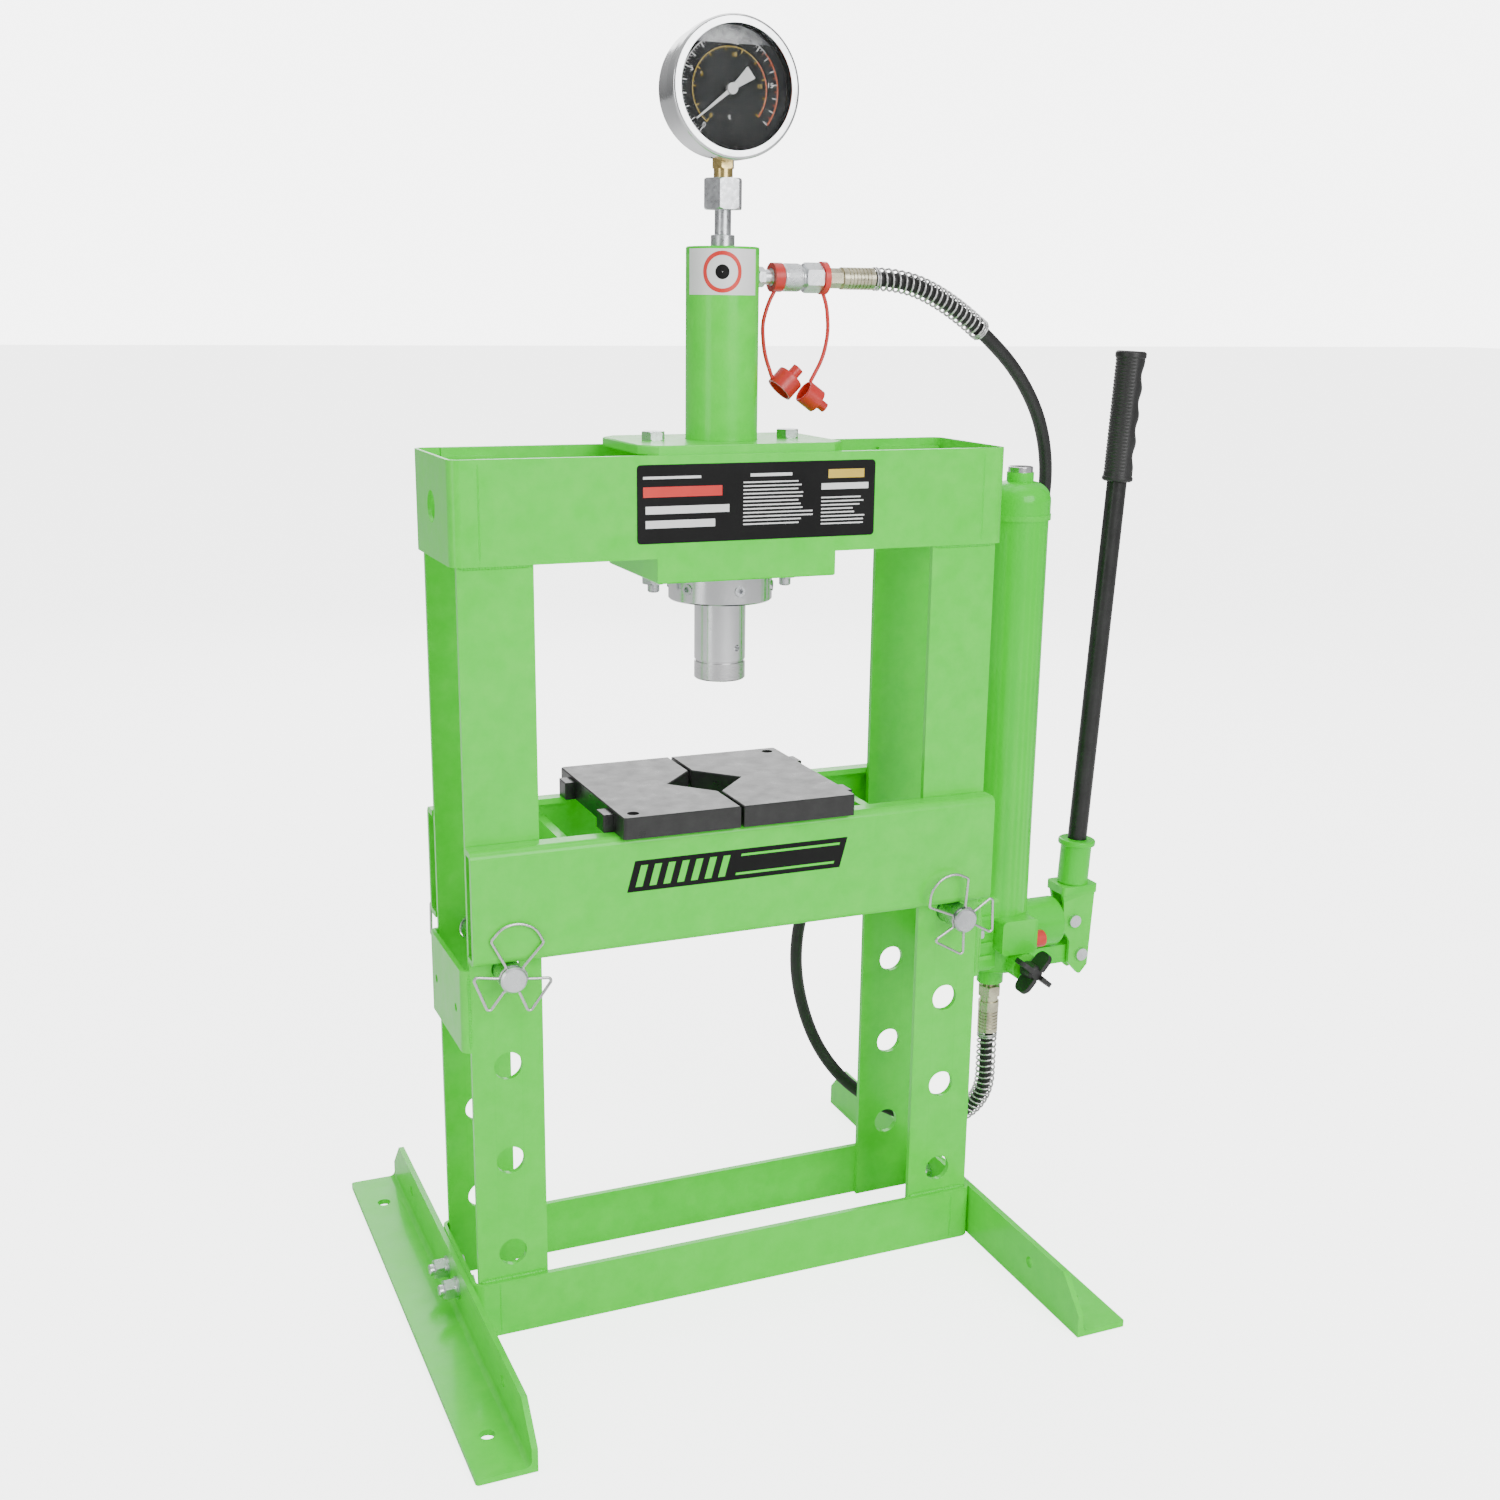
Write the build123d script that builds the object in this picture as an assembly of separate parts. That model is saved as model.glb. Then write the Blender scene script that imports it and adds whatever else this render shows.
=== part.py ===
from build123d import *

import os
from math import acos, cos, pi, radians, sin, tan

# Bench-top hydraulic shop press: an H-frame with a pinned bed, a clamped ram cylinder with a
# pressure gauge, and a hand pump on the right-hand side that feeds the cylinder by a hose.
# Millimetres. X runs to the operator's right, Y away from the operator, Z up. The origin is the
# centre of the four foot-bolt holes, on the face that the feet stand on.

# ---- frame: header box, base box, four flat uprights, side braces, feet
frame_half_width = 238.0
frame_half_depth = 60.0
side_plate = 5.0
end_sheet = 3.0
end_seam_x = 216.0
end_corner = 9.0
header_bottom = 655.0
header_top = 735.0
header_end_hole = 12.5
base_height = 50.0

upright_inner_x = 173.0
upright_outer_x = 233.0
upright_thick = 5.0
upright_top = 728.0
hole_x = 203.0
hole_radius = 12.0
hole_first_z = 74.0
hole_pitch = 85.0
hole_rows = 4

brace_bottom = 260.0
brace_top = 331.0
brace_outer_x = 240.0
brace_sheet = 4.0
brace_corner = 6.5
brace_hole_y = 34.0
brace_hole_z = 293.0
brace_hole_radius = 3.6

foot_half_length = 246.0
foot_leg = 48.0
foot_thick = 5.0
foot_end_cut_y = 27.0
foot_end_cut_z = 28.0
foot_hole_x = 264.0
foot_hole_y = 195.0
foot_hole_radius = 6.0
foot_spare_hole_y = 165.0
foot_spare_hole_radius = 5.0
foot_bolt_y = 18.0
foot_bolt_z = 28.0

bolt_radius = 4.95
bolt_hole_radius = 5.5
bolt_flats = 16.0
bolt_head = 6.4
nut_thick = 8.0
nut_hole_radius = 5.0

# ---- bed: two channel rails on two pins, two loose arbor plates on top
pin_radius = 11.0
pin_length = 172.0
pin_z = hole_first_z + hole_pitch * (hole_rows - 1) - 0.7
pin_front_y = {"left": -82.0, "right": -88.0}
pin_groove_radius = 9.2
pin_groove_width = 3.6
pin_groove_inset = 5.0
clip_wire = 1.25
clip_hug_radius = 11.15
clip_corner = 2.6
clip_turn = {"left": (-8.0, -30.0), "right": (31.0, -60.0)}

bed_top = 435.0
bed_bottom = pin_z + pin_radius + 0.3
bed_half_length = 234.0
rail_outer_y = 74.4
rail_inner_y = 56.0
rail_thick = 5.0
rail_corner = 7.0
spacer_x = 140.0
spacer_thick = 8.0
spacer_bottom = 350.0
spacer_top = 420.0

plate_width = 101.0
plate_length = 172.0
plate_thick = 18.0
plate_gap = 3.0
plate_pair_x = -8.5
plate_pair_y = 4.0
notch_depth = 32.0
notch_half = 35.0
plate_hole_radius = 5.0
plate_hole_inset = 12.0
lug_reach = 9.0
lug_width = 18.0
lug_offset = 52.0
lug_step = 3.0

# ---- head: cylinder clamped between a plate above and a plate below the header
head_x = 3.0
top_plate_half = (88.0, 57.0)
top_plate_x = 3.5
top_plate_thick = 7.0
top_plate_cut = (13.0, 14.0)
bottom_plate_half = (77.0, 60.0)
bottom_plate_thick = 20.0
head_bolt_x = 59.0
head_bolt_end = 619.0

tube_radius = 29.3
tube_bore = 23.5
tube_bottom = 613.0
tube_top = 886.0
cap_top = 892.0
plate_hole_clearance = 0.3
collar_radius = 43.3
collar_bottom = 611.0
collar_screw_count = 6
collar_screw_z = 623.0
port_z = 869.4

ram_radius = 21.5
ram_bore = 13.0
ram_bottom = 560.6
ram_top = 846.0
ram_floor = 14.0
piston_radius = 23.42
piston_bottom = 826.0
nose_bottom = 543.6
ram_screw_turn = 20.0
guide_top = 640.0
running_gap = 0.06
spring_radius = 9.0
spring_wire = 1.6
spring_pitch = 9.0

gauge_z = 1008.0
gauge_case_radius = 50.0
gauge_bezel_radius = 52.5
gauge_front_y = -28.0
gauge_back_y = 15.0
gauge_dial_y = -12.0
stem_radius = 6.6
gauge_nut_bottom = 920.0
gauge_nut_top = 943.5
gauge_nut_flats = 28.0

# ---- hand pump on the right-hand brace
pump_x = 288.0
reservoir_radius = 27.0
reservoir_bottom = 300.0
reservoir_top = 670.0
reservoir_wall = 2.5
neck_top = 708.0
barrel_z = 281.5
barrel_radius = 23.5
barrel_end_x = 350.0
plunger_radius = 8.0
plunger_pin_x = 365.7
fulcrum_x = 375.2
fulcrum_z = 247.6
lever_pin_radius = 4.5
yoke_inner_y = 8.0
yoke_plate = 4.0
yoke_top = 316.0
socket_radius = 14.5
socket_lip_radius = 17.5
socket_top = 361.0
valve_x = 295.0
valve_z = 255.5
valve_block_x = (270.0, 307.0)
valve_block_front = -41.0
valve_block_z = (269.0, 302.0)
relief_centre = (-32.5, 278.4)
handle_radius = 9.0
handle_lean = 3.14
handle_foot_x = 369.0
grip_radius = 14.0
grip_bottom = 697.0
grip_top = 812.0
flange_thick = 6.0
outlet_x = 283.0
outlet_z = 229.0
ferrule_radius = 9.6
ring_seat_radius = 7.0

# ---- hose, from the pump outlet round behind the right-hand uprights to the cylinder port
hose_radius = 6.0
hose_bottom_exit = 178.0
hose_top_exit = 136.0
hose_route = [
    (outlet_x, 0, hose_bottom_exit),
    (outlet_x, 0, 150),
    (286, 5, 113),
    (279, 25, 82),
    (261, 51, 64),
    (231, 82, 62),
    (192, 112, 86),
    (168, 132, 120),
    (151, 139, 166),
    (141, 138, 220),
    (145, 132, 276),
    (168, 123, 334),
    (212, 112, 394),
    (264, 100, 462),
    (312, 88, 536),
    (346, 77, 610),
    (357, 64, 680),
    (341, 50, 742),
    (302, 34, 792),
    (254, 20, 828),
    (206, 7, 855),
    (164, 0, port_z),
    (hose_top_exit, 0, port_z),
]
guard_inner = 7.6
guard_outer = 10.0
guard_bottom_runs = 4
guard_top_runs = 4

solids_written = []


def save(name, shape):
    """Write one sub-part. A list is a group of separate solids."""
    if isinstance(shape, list):
        shape = Compound(children=shape)
    export_step(shape, "parts/" + name + ".step")
    solids_written.append(name)


def block(x_span, y_span, z_span):
    """A box between three pairs of coordinates, given in either order."""
    spans = [sorted(span) for span in (x_span, y_span, z_span)]
    sizes = [high - low for low, high in spans]
    centre = [(low + high) / 2 for low, high in spans]
    return Pos(*centre) * Box(*sizes)


def rod(start, direction, radius, length):
    """A cylinder from a point, along a direction."""
    place = Plane(origin=start, z_dir=direction)
    return place * Cylinder(radius, length, align=(Align.CENTER, Align.CENTER, Align.MIN))


def ring(start, direction, outer, inner, length):
    """A tube from a point, along a direction."""
    return rod(start, direction, outer, length) - rod(start, direction, inner, length)


def hexagon(start, direction, flats, length):
    """A hexagonal head or nut with its corners turned off at both ends."""
    place = Plane(origin=start, z_dir=direction)
    prism = extrude(place * RegularPolygon(flats / 2, 6, major_radius=False), amount=length)
    turned = rod(start, direction, flats * 0.575, length)
    turned = chamfer(turned.edges().filter_by(GeomType.CIRCLE), flats * 0.05)
    return prism & turned


def both_sides(shape):
    """The shape and its mirror image in the plane X = 0."""
    return [shape, mirror(shape, about=Plane.YZ)]


def side_sign(side):
    return -1 if side == "left" else 1


def end_channel(inner_x, outer_x, half_depth, sheet, corner, z_span):
    """A folded sheet end on the right-hand side: a web with a short return at each side."""
    outer = block((inner_x, outer_x), (-half_depth, half_depth), z_span)
    outer = fillet(outer.edges().filter_by(Axis.Z).group_by(Axis.X)[-1], corner)
    hollow_depth = half_depth - sheet
    hollow = block((inner_x, outer_x - sheet), (-hollow_depth, hollow_depth), z_span)
    hollow = fillet(hollow.edges().filter_by(Axis.Z).group_by(Axis.X)[-1], corner - sheet)
    return outer - hollow


def box_plate(side, z_span):
    """The flat front (side -1) or rear (side 1) plate of the header or base box."""
    faces = (side * (frame_half_depth - side_plate), side * frame_half_depth)
    return block((-end_seam_x, end_seam_x), faces, z_span)


def frame_parts():
    header = (header_bottom, header_top)
    base = (0, base_height)
    save("header_plates", [box_plate(-1, header), box_plate(1, header)])
    save("base_plates", [box_plate(-1, base), box_plate(1, base)])

    end = end_channel(end_seam_x, frame_half_width, frame_half_depth, end_sheet, end_corner, header)
    middle = (end_seam_x, 0, (header_bottom + header_top) / 2)
    end -= rod(middle, (1, 0, 0), header_end_hole, 30)
    save("header_ends", both_sides(end))

    end = end_channel(end_seam_x, frame_half_width, frame_half_depth, end_sheet, end_corner, base)
    for y in (-foot_bolt_y, foot_bolt_y):
        end -= rod((end_seam_x, y, foot_bolt_z), (1, 0, 0), bolt_hole_radius, 30)
    save("base_ends", both_sides(end))

    outer_y = frame_half_depth - side_plate
    bar = block(
        (upright_inner_x, upright_outer_x), (outer_y - upright_thick, outer_y), (0, upright_top)
    )
    for row in range(hole_rows):
        z = hole_first_z + row * hole_pitch
        bar -= rod((hole_x, 0, z), (0, 1, 0), hole_radius, frame_half_depth)
    pair = [bar, mirror(bar, about=Plane.XZ)]
    save("uprights_right", pair)
    save("uprights_left", [mirror(upright, about=Plane.YZ) for upright in pair])

    brace_span = (brace_bottom, brace_top)
    brace = end_channel(upright_outer_x, brace_outer_x, outer_y, brace_sheet, brace_corner, brace_span)
    for y in (-brace_hole_y, brace_hole_y):
        brace -= rod((upright_outer_x, y, brace_hole_z), (1, 0, 0), brace_hole_radius, 30)
    save("side_braces", both_sides(brace))


def foot_parts():
    inner_x = frame_half_width
    standing = Polyline(
        (-foot_half_length, 0),
        (foot_half_length, 0),
        (foot_half_length, foot_leg - foot_end_cut_z),
        (foot_half_length - foot_end_cut_y, foot_leg),
        (-foot_half_length + foot_end_cut_y, foot_leg),
        (-foot_half_length, foot_leg - foot_end_cut_z),
        close=True,
    )
    flange = Pos(inner_x, 0, 0) * extrude(
        make_face(Plane.YZ * standing), amount=foot_thick, dir=(1, 0, 0)
    )
    lying = block(
        (inner_x, inner_x + foot_leg), (-foot_half_length, foot_half_length), (0, foot_thick)
    )
    lying = fillet(lying.edges().filter_by(Axis.Z).group_by(Axis.X)[-1], 3)
    foot = flange + lying
    foot = fillet(foot.edges().filter_by(Axis.Y).filter_by_position(
        Axis.X, inner_x + foot_thick - 0.1, inner_x + foot_thick + 0.1
    ).filter_by_position(Axis.Z, foot_thick - 0.1, foot_thick + 0.1), 5)
    for sign in (-1, 1):
        foot -= rod((foot_hole_x, sign * foot_hole_y, 0), (0, 0, 1), foot_hole_radius, foot_thick)
        foot -= rod(
            (inner_x, sign * foot_spare_hole_y, foot_bolt_z), (1, 0, 0), foot_spare_hole_radius, 9
        )
        foot -= rod((inner_x, sign * foot_bolt_y, foot_bolt_z), (1, 0, 0), bolt_hole_radius, 9)
    right, left = both_sides(foot)
    save("foot_right", right)
    save("foot_left", left)

    hardware = []
    head_face = frame_half_width - end_sheet
    flange_face = frame_half_width + foot_thick
    for y in (-foot_bolt_y, foot_bolt_y):
        centre = (head_face, y, foot_bolt_z)
        shank = rod(centre, (1, 0, 0), bolt_radius, 25)
        shank = chamfer(shank.edges().group_by(Axis.X)[-1], 1)
        bolt = shank + hexagon(centre, (-1, 0, 0), bolt_flats, bolt_head)
        stack = [bolt]
        start = flange_face
        for washer_radius, washer_thick in ((10.0, 1.8), (8.6, 2.5)):
            centre = (start, y, foot_bolt_z)
            stack.append(ring(centre, (1, 0, 0), washer_radius, nut_hole_radius + 0.2, washer_thick))
            start += washer_thick
        centre = (start, y, foot_bolt_z)
        nut = hexagon(centre, (1, 0, 0), bolt_flats, nut_thick)
        stack.append(nut - rod(centre, (1, 0, 0), nut_hole_radius, nut_thick))
        for piece in stack:
            hardware += both_sides(piece)
    save("foot_bolts", hardware)


def bed_parts():
    profile = Pos((rail_inner_y + rail_outer_y) / 2, (bed_bottom + bed_top) / 2) * Rectangle(
        rail_outer_y - rail_inner_y, bed_top - bed_bottom
    )
    profile = fillet(profile.vertices().group_by(Axis.X)[-1], rail_corner)
    web_inner_y = rail_outer_y - rail_thick
    hollow = Pos((rail_inner_y + web_inner_y) / 2, (bed_bottom + bed_top) / 2) * Rectangle(
        web_inner_y - rail_inner_y, bed_top - bed_bottom - 2 * rail_thick
    )
    hollow = fillet(hollow.vertices().group_by(Axis.X)[-1], rail_corner - rail_thick)
    rail = extrude(Plane.YZ * (profile - hollow), amount=bed_half_length, both=True)
    save("bed_rail_rear", rail)
    save("bed_rail_front", mirror(rail, about=Plane.XZ))

    half_thick = spacer_thick / 2
    spacer = block(
        (spacer_x - half_thick, spacer_x + half_thick),
        (-web_inner_y, web_inner_y),
        (spacer_bottom, spacer_top),
    )
    save("bed_spacers", both_sides(spacer))


def arbor_plate():
    """One plate, as it lies on the left. The other is the same plate turned half a turn."""
    inner_x = plate_pair_x - plate_gap / 2
    outer_x = inner_x - plate_width
    front_y = plate_pair_y - plate_length / 2
    rear_y = plate_pair_y + plate_length / 2
    outline = Polyline(
        (outer_x, front_y),
        (inner_x, front_y),
        (inner_x, plate_pair_y - notch_half),
        (inner_x - notch_depth, plate_pair_y),
        (inner_x, plate_pair_y + notch_half),
        (inner_x, rear_y),
        (outer_x, rear_y),
        close=True,
    )
    plate = Pos(0, 0, bed_top) * extrude(make_face(outline), amount=plate_thick, dir=(0, 0, 1))
    plate = fillet(plate.edges().filter_by(Axis.Z).group_by(Axis.X)[0], 3)
    plate = chamfer(plate.faces().sort_by(Axis.Z)[-1].outer_wire().edges(), 0.8)
    hole = (outer_x + plate_hole_inset, front_y + plate_hole_inset, bed_top)
    plate -= rod(hole, (0, 0, 1), plate_hole_radius, plate_thick)
    for offset in (-lug_offset, lug_offset):
        y = plate_pair_y + offset
        lug = block(
            (outer_x - lug_reach, outer_x + 1),
            (y - lug_width / 2, y + lug_width / 2),
            (bed_top, bed_top + plate_thick - lug_step),
        )
        plate += fillet(lug.edges().group_by(Axis.X)[0], 1)
    return plate


def plate_parts():
    left = arbor_plate()
    save("arbor_plate_left", left)
    turn = Pos(plate_pair_x, plate_pair_y, 0) * Rot(0, 0, 180) * Pos(-plate_pair_x, -plate_pair_y, 0)
    save("arbor_plate_right", turn * left)


def bend_radii(points):
    """The radius of the arc at each inner point: as large as its two runs allow."""
    vectors = [Vector(*point) for point in points]
    radii = []
    for before, here, after in zip(vectors, vectors[1:], vectors[2:]):
        first = here - before
        second = after - here
        turn = acos(max(-1.0, min(1.0, first.normalized().dot(second.normalized()))))
        radii.append(0.45 * min(first.length, second.length) / tan(turn / 2))
    return radii


def round_bar(points, radius, radii=None):
    """A round bar along straight runs joined by tangent arcs, and the length of its line."""
    path = FilletPolyline(*points, radius=radii or bend_radii(points))
    start = Plane(origin=path @ 0, z_dir=path % 0)
    return sweep(start * Circle(radius), path=path), path.length


def clip_points():
    """Centre line of a sprung wire clip with one crowned loop and two three-cornered loops.

    Two-dimensional points about the pin's axis, with the crowned loop upwards."""
    def polar(radius, angle):
        return (radius * sin(radians(angle)), radius * cos(radians(angle)))

    loops = [(-119.0, 31.0, 33.5), (0.0, 35.0, 38.0), (119.0, 31.0, 33.5)]
    points = [polar(clip_hug_radius, -172.0)]
    for middle, half, reach in loops:
        points.append(polar(clip_hug_radius, middle - half))
        points.append(polar(reach, middle - half))
        if middle == 0.0:
            points.append(polar(45.0, -18.0))
            points.append(polar(47.0, 0.0))
            points.append(polar(45.0, 18.0))
        points.append(polar(reach, middle + half))
        points.append(polar(clip_hug_radius, middle + half))
        if middle < 100.0:
            points.append(polar(clip_hug_radius, middle + half + 27.0))
    points.append(polar(clip_hug_radius, 172.0))
    return points


def pin_parts():
    for side in ("left", "right"):
        x = side_sign(side) * hole_x
        front = pin_front_y[side]
        rear = front + pin_length
        pin = rod((x, front, pin_z), (0, 1, 0), pin_radius, pin_length)
        pin = chamfer(pin.edges().filter_by(GeomType.CIRCLE), 1.5)
        ends = (("front", front + pin_groove_inset), ("rear", rear - pin_groove_inset))
        for (end_name, y), turn in zip(ends, clip_turn[side]):
            groove = (x, y - pin_groove_width / 2, pin_z)
            pin -= ring(groove, (0, 1, 0), pin_radius + 1, pin_groove_radius, pin_groove_width)
            place = Plane(origin=(x, y, pin_z), x_dir=(1, 0, 0), z_dir=(0, -1, 0))
            flat = [(u, v, 0) for u, v in clip_points()]
            corners = [clip_corner if radius < 10 else radius for radius in bend_radii(flat)]
            wire, _ = round_bar(flat, clip_wire, corners)
            save("pin_clip_" + side + "_" + end_name, place * Rot(0, 0, turn) * wire)
        save("bed_pin_" + side, pin)


def head_parts():
    hole = tube_radius + plate_hole_clearance
    half_x, half_y = top_plate_half
    cut_x, cut_y = top_plate_cut
    quarter = [(half_x - cut_x, half_y), (half_x, half_y - cut_y)]
    corners = quarter + [(x, -y) for x, y in reversed(quarter)]
    corners += [(-x, y) for x, y in reversed(corners)]
    outline = Pos(top_plate_x, 0, header_top) * make_face(Polyline(*corners, close=True))
    top = extrude(outline, amount=top_plate_thick, dir=(0, 0, 1))
    top = chamfer(top.faces().sort_by(Axis.Z)[-1].edges(), 1)
    top -= rod((head_x, 0, header_top), (0, 0, 1), hole, top_plate_thick)

    half_x, half_y = bottom_plate_half
    plate_bottom = header_bottom - bottom_plate_thick
    bottom = block((head_x - half_x, head_x + half_x), (-half_y, half_y), (plate_bottom, header_bottom))
    bottom = chamfer(bottom.faces().sort_by(Axis.Z)[0].edges(), 1)
    bottom -= rod((head_x, 0, plate_bottom), (0, 0, 1), hole, bottom_plate_thick)

    bolts = []
    plate_top = header_top + top_plate_thick
    for sign in (-1, 1):
        x = head_x + sign * head_bolt_x
        top -= rod((x, 0, header_top), (0, 0, 1), bolt_hole_radius, top_plate_thick)
        bottom -= rod((x, 0, plate_bottom), (0, 0, 1), bolt_hole_radius, bottom_plate_thick)
        shank = rod((x, 0, head_bolt_end), (0, 0, 1), bolt_radius, plate_top - head_bolt_end)
        shank = chamfer(shank.edges().group_by(Axis.Z)[0], 1)
        bolts.append(shank + hexagon((x, 0, plate_top), (0, 0, 1), 17, 7))
        nut = hexagon((x, 0, plate_bottom - 9), (0, 0, 1), 17, 9)
        bolts.append(nut - rod((x, 0, plate_bottom - 9), (0, 0, 1), nut_hole_radius, 9))
    save("head_top_plate", top)
    save("head_bottom_plate", bottom)
    save("head_bolts", bolts)


def cylinder_parts():
    up = (0, 0, 1)
    axis = (head_x, 0)
    tube = ring((*axis, tube_bottom), up, tube_radius, tube_bore, tube_top - tube_bottom)
    tube -= rod((head_x, 0, port_z), (1, 0, 0), 6.0, tube_radius + 5)
    save("cylinder_tube", tube)

    cap = rod((*axis, tube_top), up, tube_radius, cap_top - tube_top)
    cap = fillet(cap.edges().group_by(Axis.Z)[-1], 1.5)
    cap += rod((*axis, tube_top - 6), up, tube_bore - running_gap, 6)
    cap += rod((*axis, tube_top - 16), up, 6.0, 10)
    cap -= rod((*axis, tube_top - 16), up, 2.0, cap_top - tube_top + 16)
    cap -= rod((head_x, 0, tube_top - 10), (1, 0, 0), 1.5, 10)
    save("cylinder_cap", cap)

    plate_bottom = header_bottom - bottom_plate_thick
    collar_height = plate_bottom - collar_bottom
    collar = ring((*axis, collar_bottom), up, collar_radius, tube_radius + running_gap, collar_height)
    collar = chamfer(collar.edges().group_by(Axis.Z)[0].sort_by(SortBy.RADIUS)[-1], 1.2)
    screws = []
    for index in range(collar_screw_count):
        angle = radians(-90 + 360 / collar_screw_count * index)
        outward = (cos(angle), sin(angle), 0)
        inner = tube_radius + 3
        start = (head_x + inner * outward[0], inner * outward[1], collar_screw_z)
        collar -= rod(start, outward, 4.5, 20)
        screw = rod(start, outward, 4.4, collar_radius - inner + 1.0)
        socket_start = [start[i] + (collar_radius - inner - 3.0) * outward[i] for i in range(3)]
        place = Plane(origin=socket_start, z_dir=outward)
        screw -= extrude(place * RegularPolygon(2.2, 6, major_radius=False), amount=6)
        screws.append(screw)
    save("cylinder_collar", collar)
    save("collar_screws", screws)

    guide_height = guide_top - tube_bottom
    guide = ring((*axis, tube_bottom), up, tube_bore - 0.05, ram_radius + running_gap, guide_height)
    save("ram_guide", guide)

    ram = rod((*axis, ram_bottom), up, ram_radius, piston_bottom - ram_bottom)
    ram += rod((*axis, piston_bottom), up, piston_radius, ram_top - piston_bottom)
    ram -= ring((*axis, piston_bottom + 8), up, piston_radius + 1, piston_radius - 2, 5)
    ram -= rod((*axis, ram_bottom + ram_floor), up, ram_bore, ram_top - ram_bottom - ram_floor)
    aside = (sin(radians(ram_screw_turn)), -cos(radians(ram_screw_turn)), 0)
    screw_top = (head_x + ram_radius * aside[0], ram_radius * aside[1], ram_bottom + 11)
    inward = (-aside[0], -aside[1], 0)
    ram -= rod(screw_top, inward, 2.8, 5) + rod(screw_top, aside, 2.8, 3)
    save("ram", ram)

    spring_foot = ram_bottom + ram_floor + spring_wire + 0.3
    spring_head = tube_top - 16 - spring_wire - 0.3
    line = Helix(pitch=spring_pitch, height=spring_head - spring_foot, radius=spring_radius)
    section = Plane(origin=line @ 0, z_dir=line % 0) * Circle(spring_wire)
    save("return_spring", Pos(head_x, 0, spring_foot) * sweep(section, path=line, is_frenet=True))

    nose = rod((*axis, nose_bottom), up, ram_radius, ram_bottom - nose_bottom)
    nose = chamfer(nose.edges().group_by(Axis.Z)[0], 1)
    nose -= ring((*axis, ram_bottom - 2.2), up, ram_radius + 1, ram_radius - 1.2, 2.2)
    save("ram_nose", nose)


def gauge_parts():
    up = (0, 0, 1)
    axis = (head_x, 0)
    back = (0, 1, 0)
    stem = ring((*axis, cap_top), up, 9.5, 2.0, 9)
    stem = fillet(stem.edges().group_by(Axis.Z)[-1].sort_by(SortBy.RADIUS)[-1], 1)
    stem += ring((*axis, cap_top + 9), up, stem_radius, 2.0, gauge_nut_bottom - cap_top - 9)
    nut_height = gauge_nut_top - gauge_nut_bottom
    nut = hexagon((*axis, gauge_nut_bottom), up, gauge_nut_flats, nut_height)
    nut -= rod((*axis, gauge_nut_bottom), up, 2.0, nut_height)
    case_bottom = gauge_z - gauge_case_radius
    adapter = ring((*axis, gauge_nut_top), up, 7.6, 2.0, 7)
    hex_part = hexagon((*axis, gauge_nut_top + 7), up, 16, case_bottom - gauge_nut_top - 6)
    adapter += hex_part - rod((*axis, gauge_nut_top), up, 2.0, 40)
    adapter += ring((*axis, case_bottom), up, 6.5, 2.0, 13)
    save("gauge_stem", [stem, nut])
    save("gauge_adapter", adapter)

    centre_x = head_x
    front = (centre_x, gauge_front_y + 5.2, gauge_z)
    depth = gauge_back_y - front[1]
    case = rod(front, back, gauge_case_radius, depth)
    case = fillet(case.edges().group_by(Axis.Y)[-1], 5)
    case -= rod(front, back, gauge_case_radius - 1.5, depth - 1.5)
    case -= rod((*axis, case_bottom - 5), up, 10.0, 12)
    case += rod((centre_x, gauge_back_y - 1, gauge_z + 30), back, 8, 3)
    save("gauge_case", case)

    bezel = rod((centre_x, gauge_front_y, gauge_z), back, gauge_bezel_radius, 14)
    bezel = fillet(bezel.edges().group_by(Axis.Y)[0], 2.5)
    bezel -= rod((centre_x, gauge_front_y, gauge_z), back, 45.8, 14)
    bezel -= rod((centre_x, gauge_front_y + 2, gauge_z), back, gauge_case_radius + 0.05, 12)
    save("gauge_bezel", bezel)

    lens = rod((centre_x, gauge_front_y + 2.1, gauge_z), back, 49.5, 3)
    save("gauge_lens", lens)

    dial = ring((centre_x, gauge_dial_y, gauge_z), back, 47.8, 2.6, 1)
    for angle in (40, 140, 220, 320):
        x = centre_x + 42 * cos(radians(angle))
        z = gauge_z + 42 * sin(radians(angle))
        dial += rod((x, gauge_dial_y - 1, z), back, 1.6, 1)
    save("gauge_dial", dial)

    needle_y = gauge_dial_y - 5
    hub = rod((centre_x, needle_y - 2, gauge_z), back, 4.2, 4)
    shaft = rod((centre_x, needle_y, gauge_z), back, 1.2, 12)
    blade = Polyline((-1.6, 0), (-0.5, 37), (0.5, 37), (1.6, 0), (5.2, -20), (-5.2, -20), close=True)
    face = Plane(origin=(centre_x, needle_y, gauge_z), x_dir=(1, 0, 0), z_dir=(0, -1, 0))
    pointer = extrude(face * Rot(0, 0, 128) * make_face(blade), amount=0.8, dir=(0, -1, 0))
    save("gauge_needle", hub + shaft + pointer)

    movement = block((centre_x - 11, centre_x + 11), (-8, 0), (gauge_z - 12, gauge_z + 12))
    movement -= rod((centre_x, -8, gauge_z), back, 1.6, 8)
    movement += block((centre_x - 6, centre_x + 6), (-6, 6), (case_bottom + 13, gauge_z - 11))
    turn_radius = 33.0
    sweep_line = ThreePointArc(
        (centre_x - 7, 0, gauge_z - 29),
        (centre_x - turn_radius * 0.5, 0, gauge_z + turn_radius * 0.87),
        (centre_x + turn_radius * 0.96, 0, gauge_z - turn_radius * 0.28),
    )
    section = Plane(origin=sweep_line @ 0, x_dir=(0, 1, 0), z_dir=sweep_line % 0) * Ellipse(5, 2)
    bourdon = sweep(section, path=sweep_line)
    movement += block((centre_x - 9, centre_x), (-5.5, 5.5), (case_bottom + 16, gauge_z - 24))
    save("gauge_movement", movement + bourdon)


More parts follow.
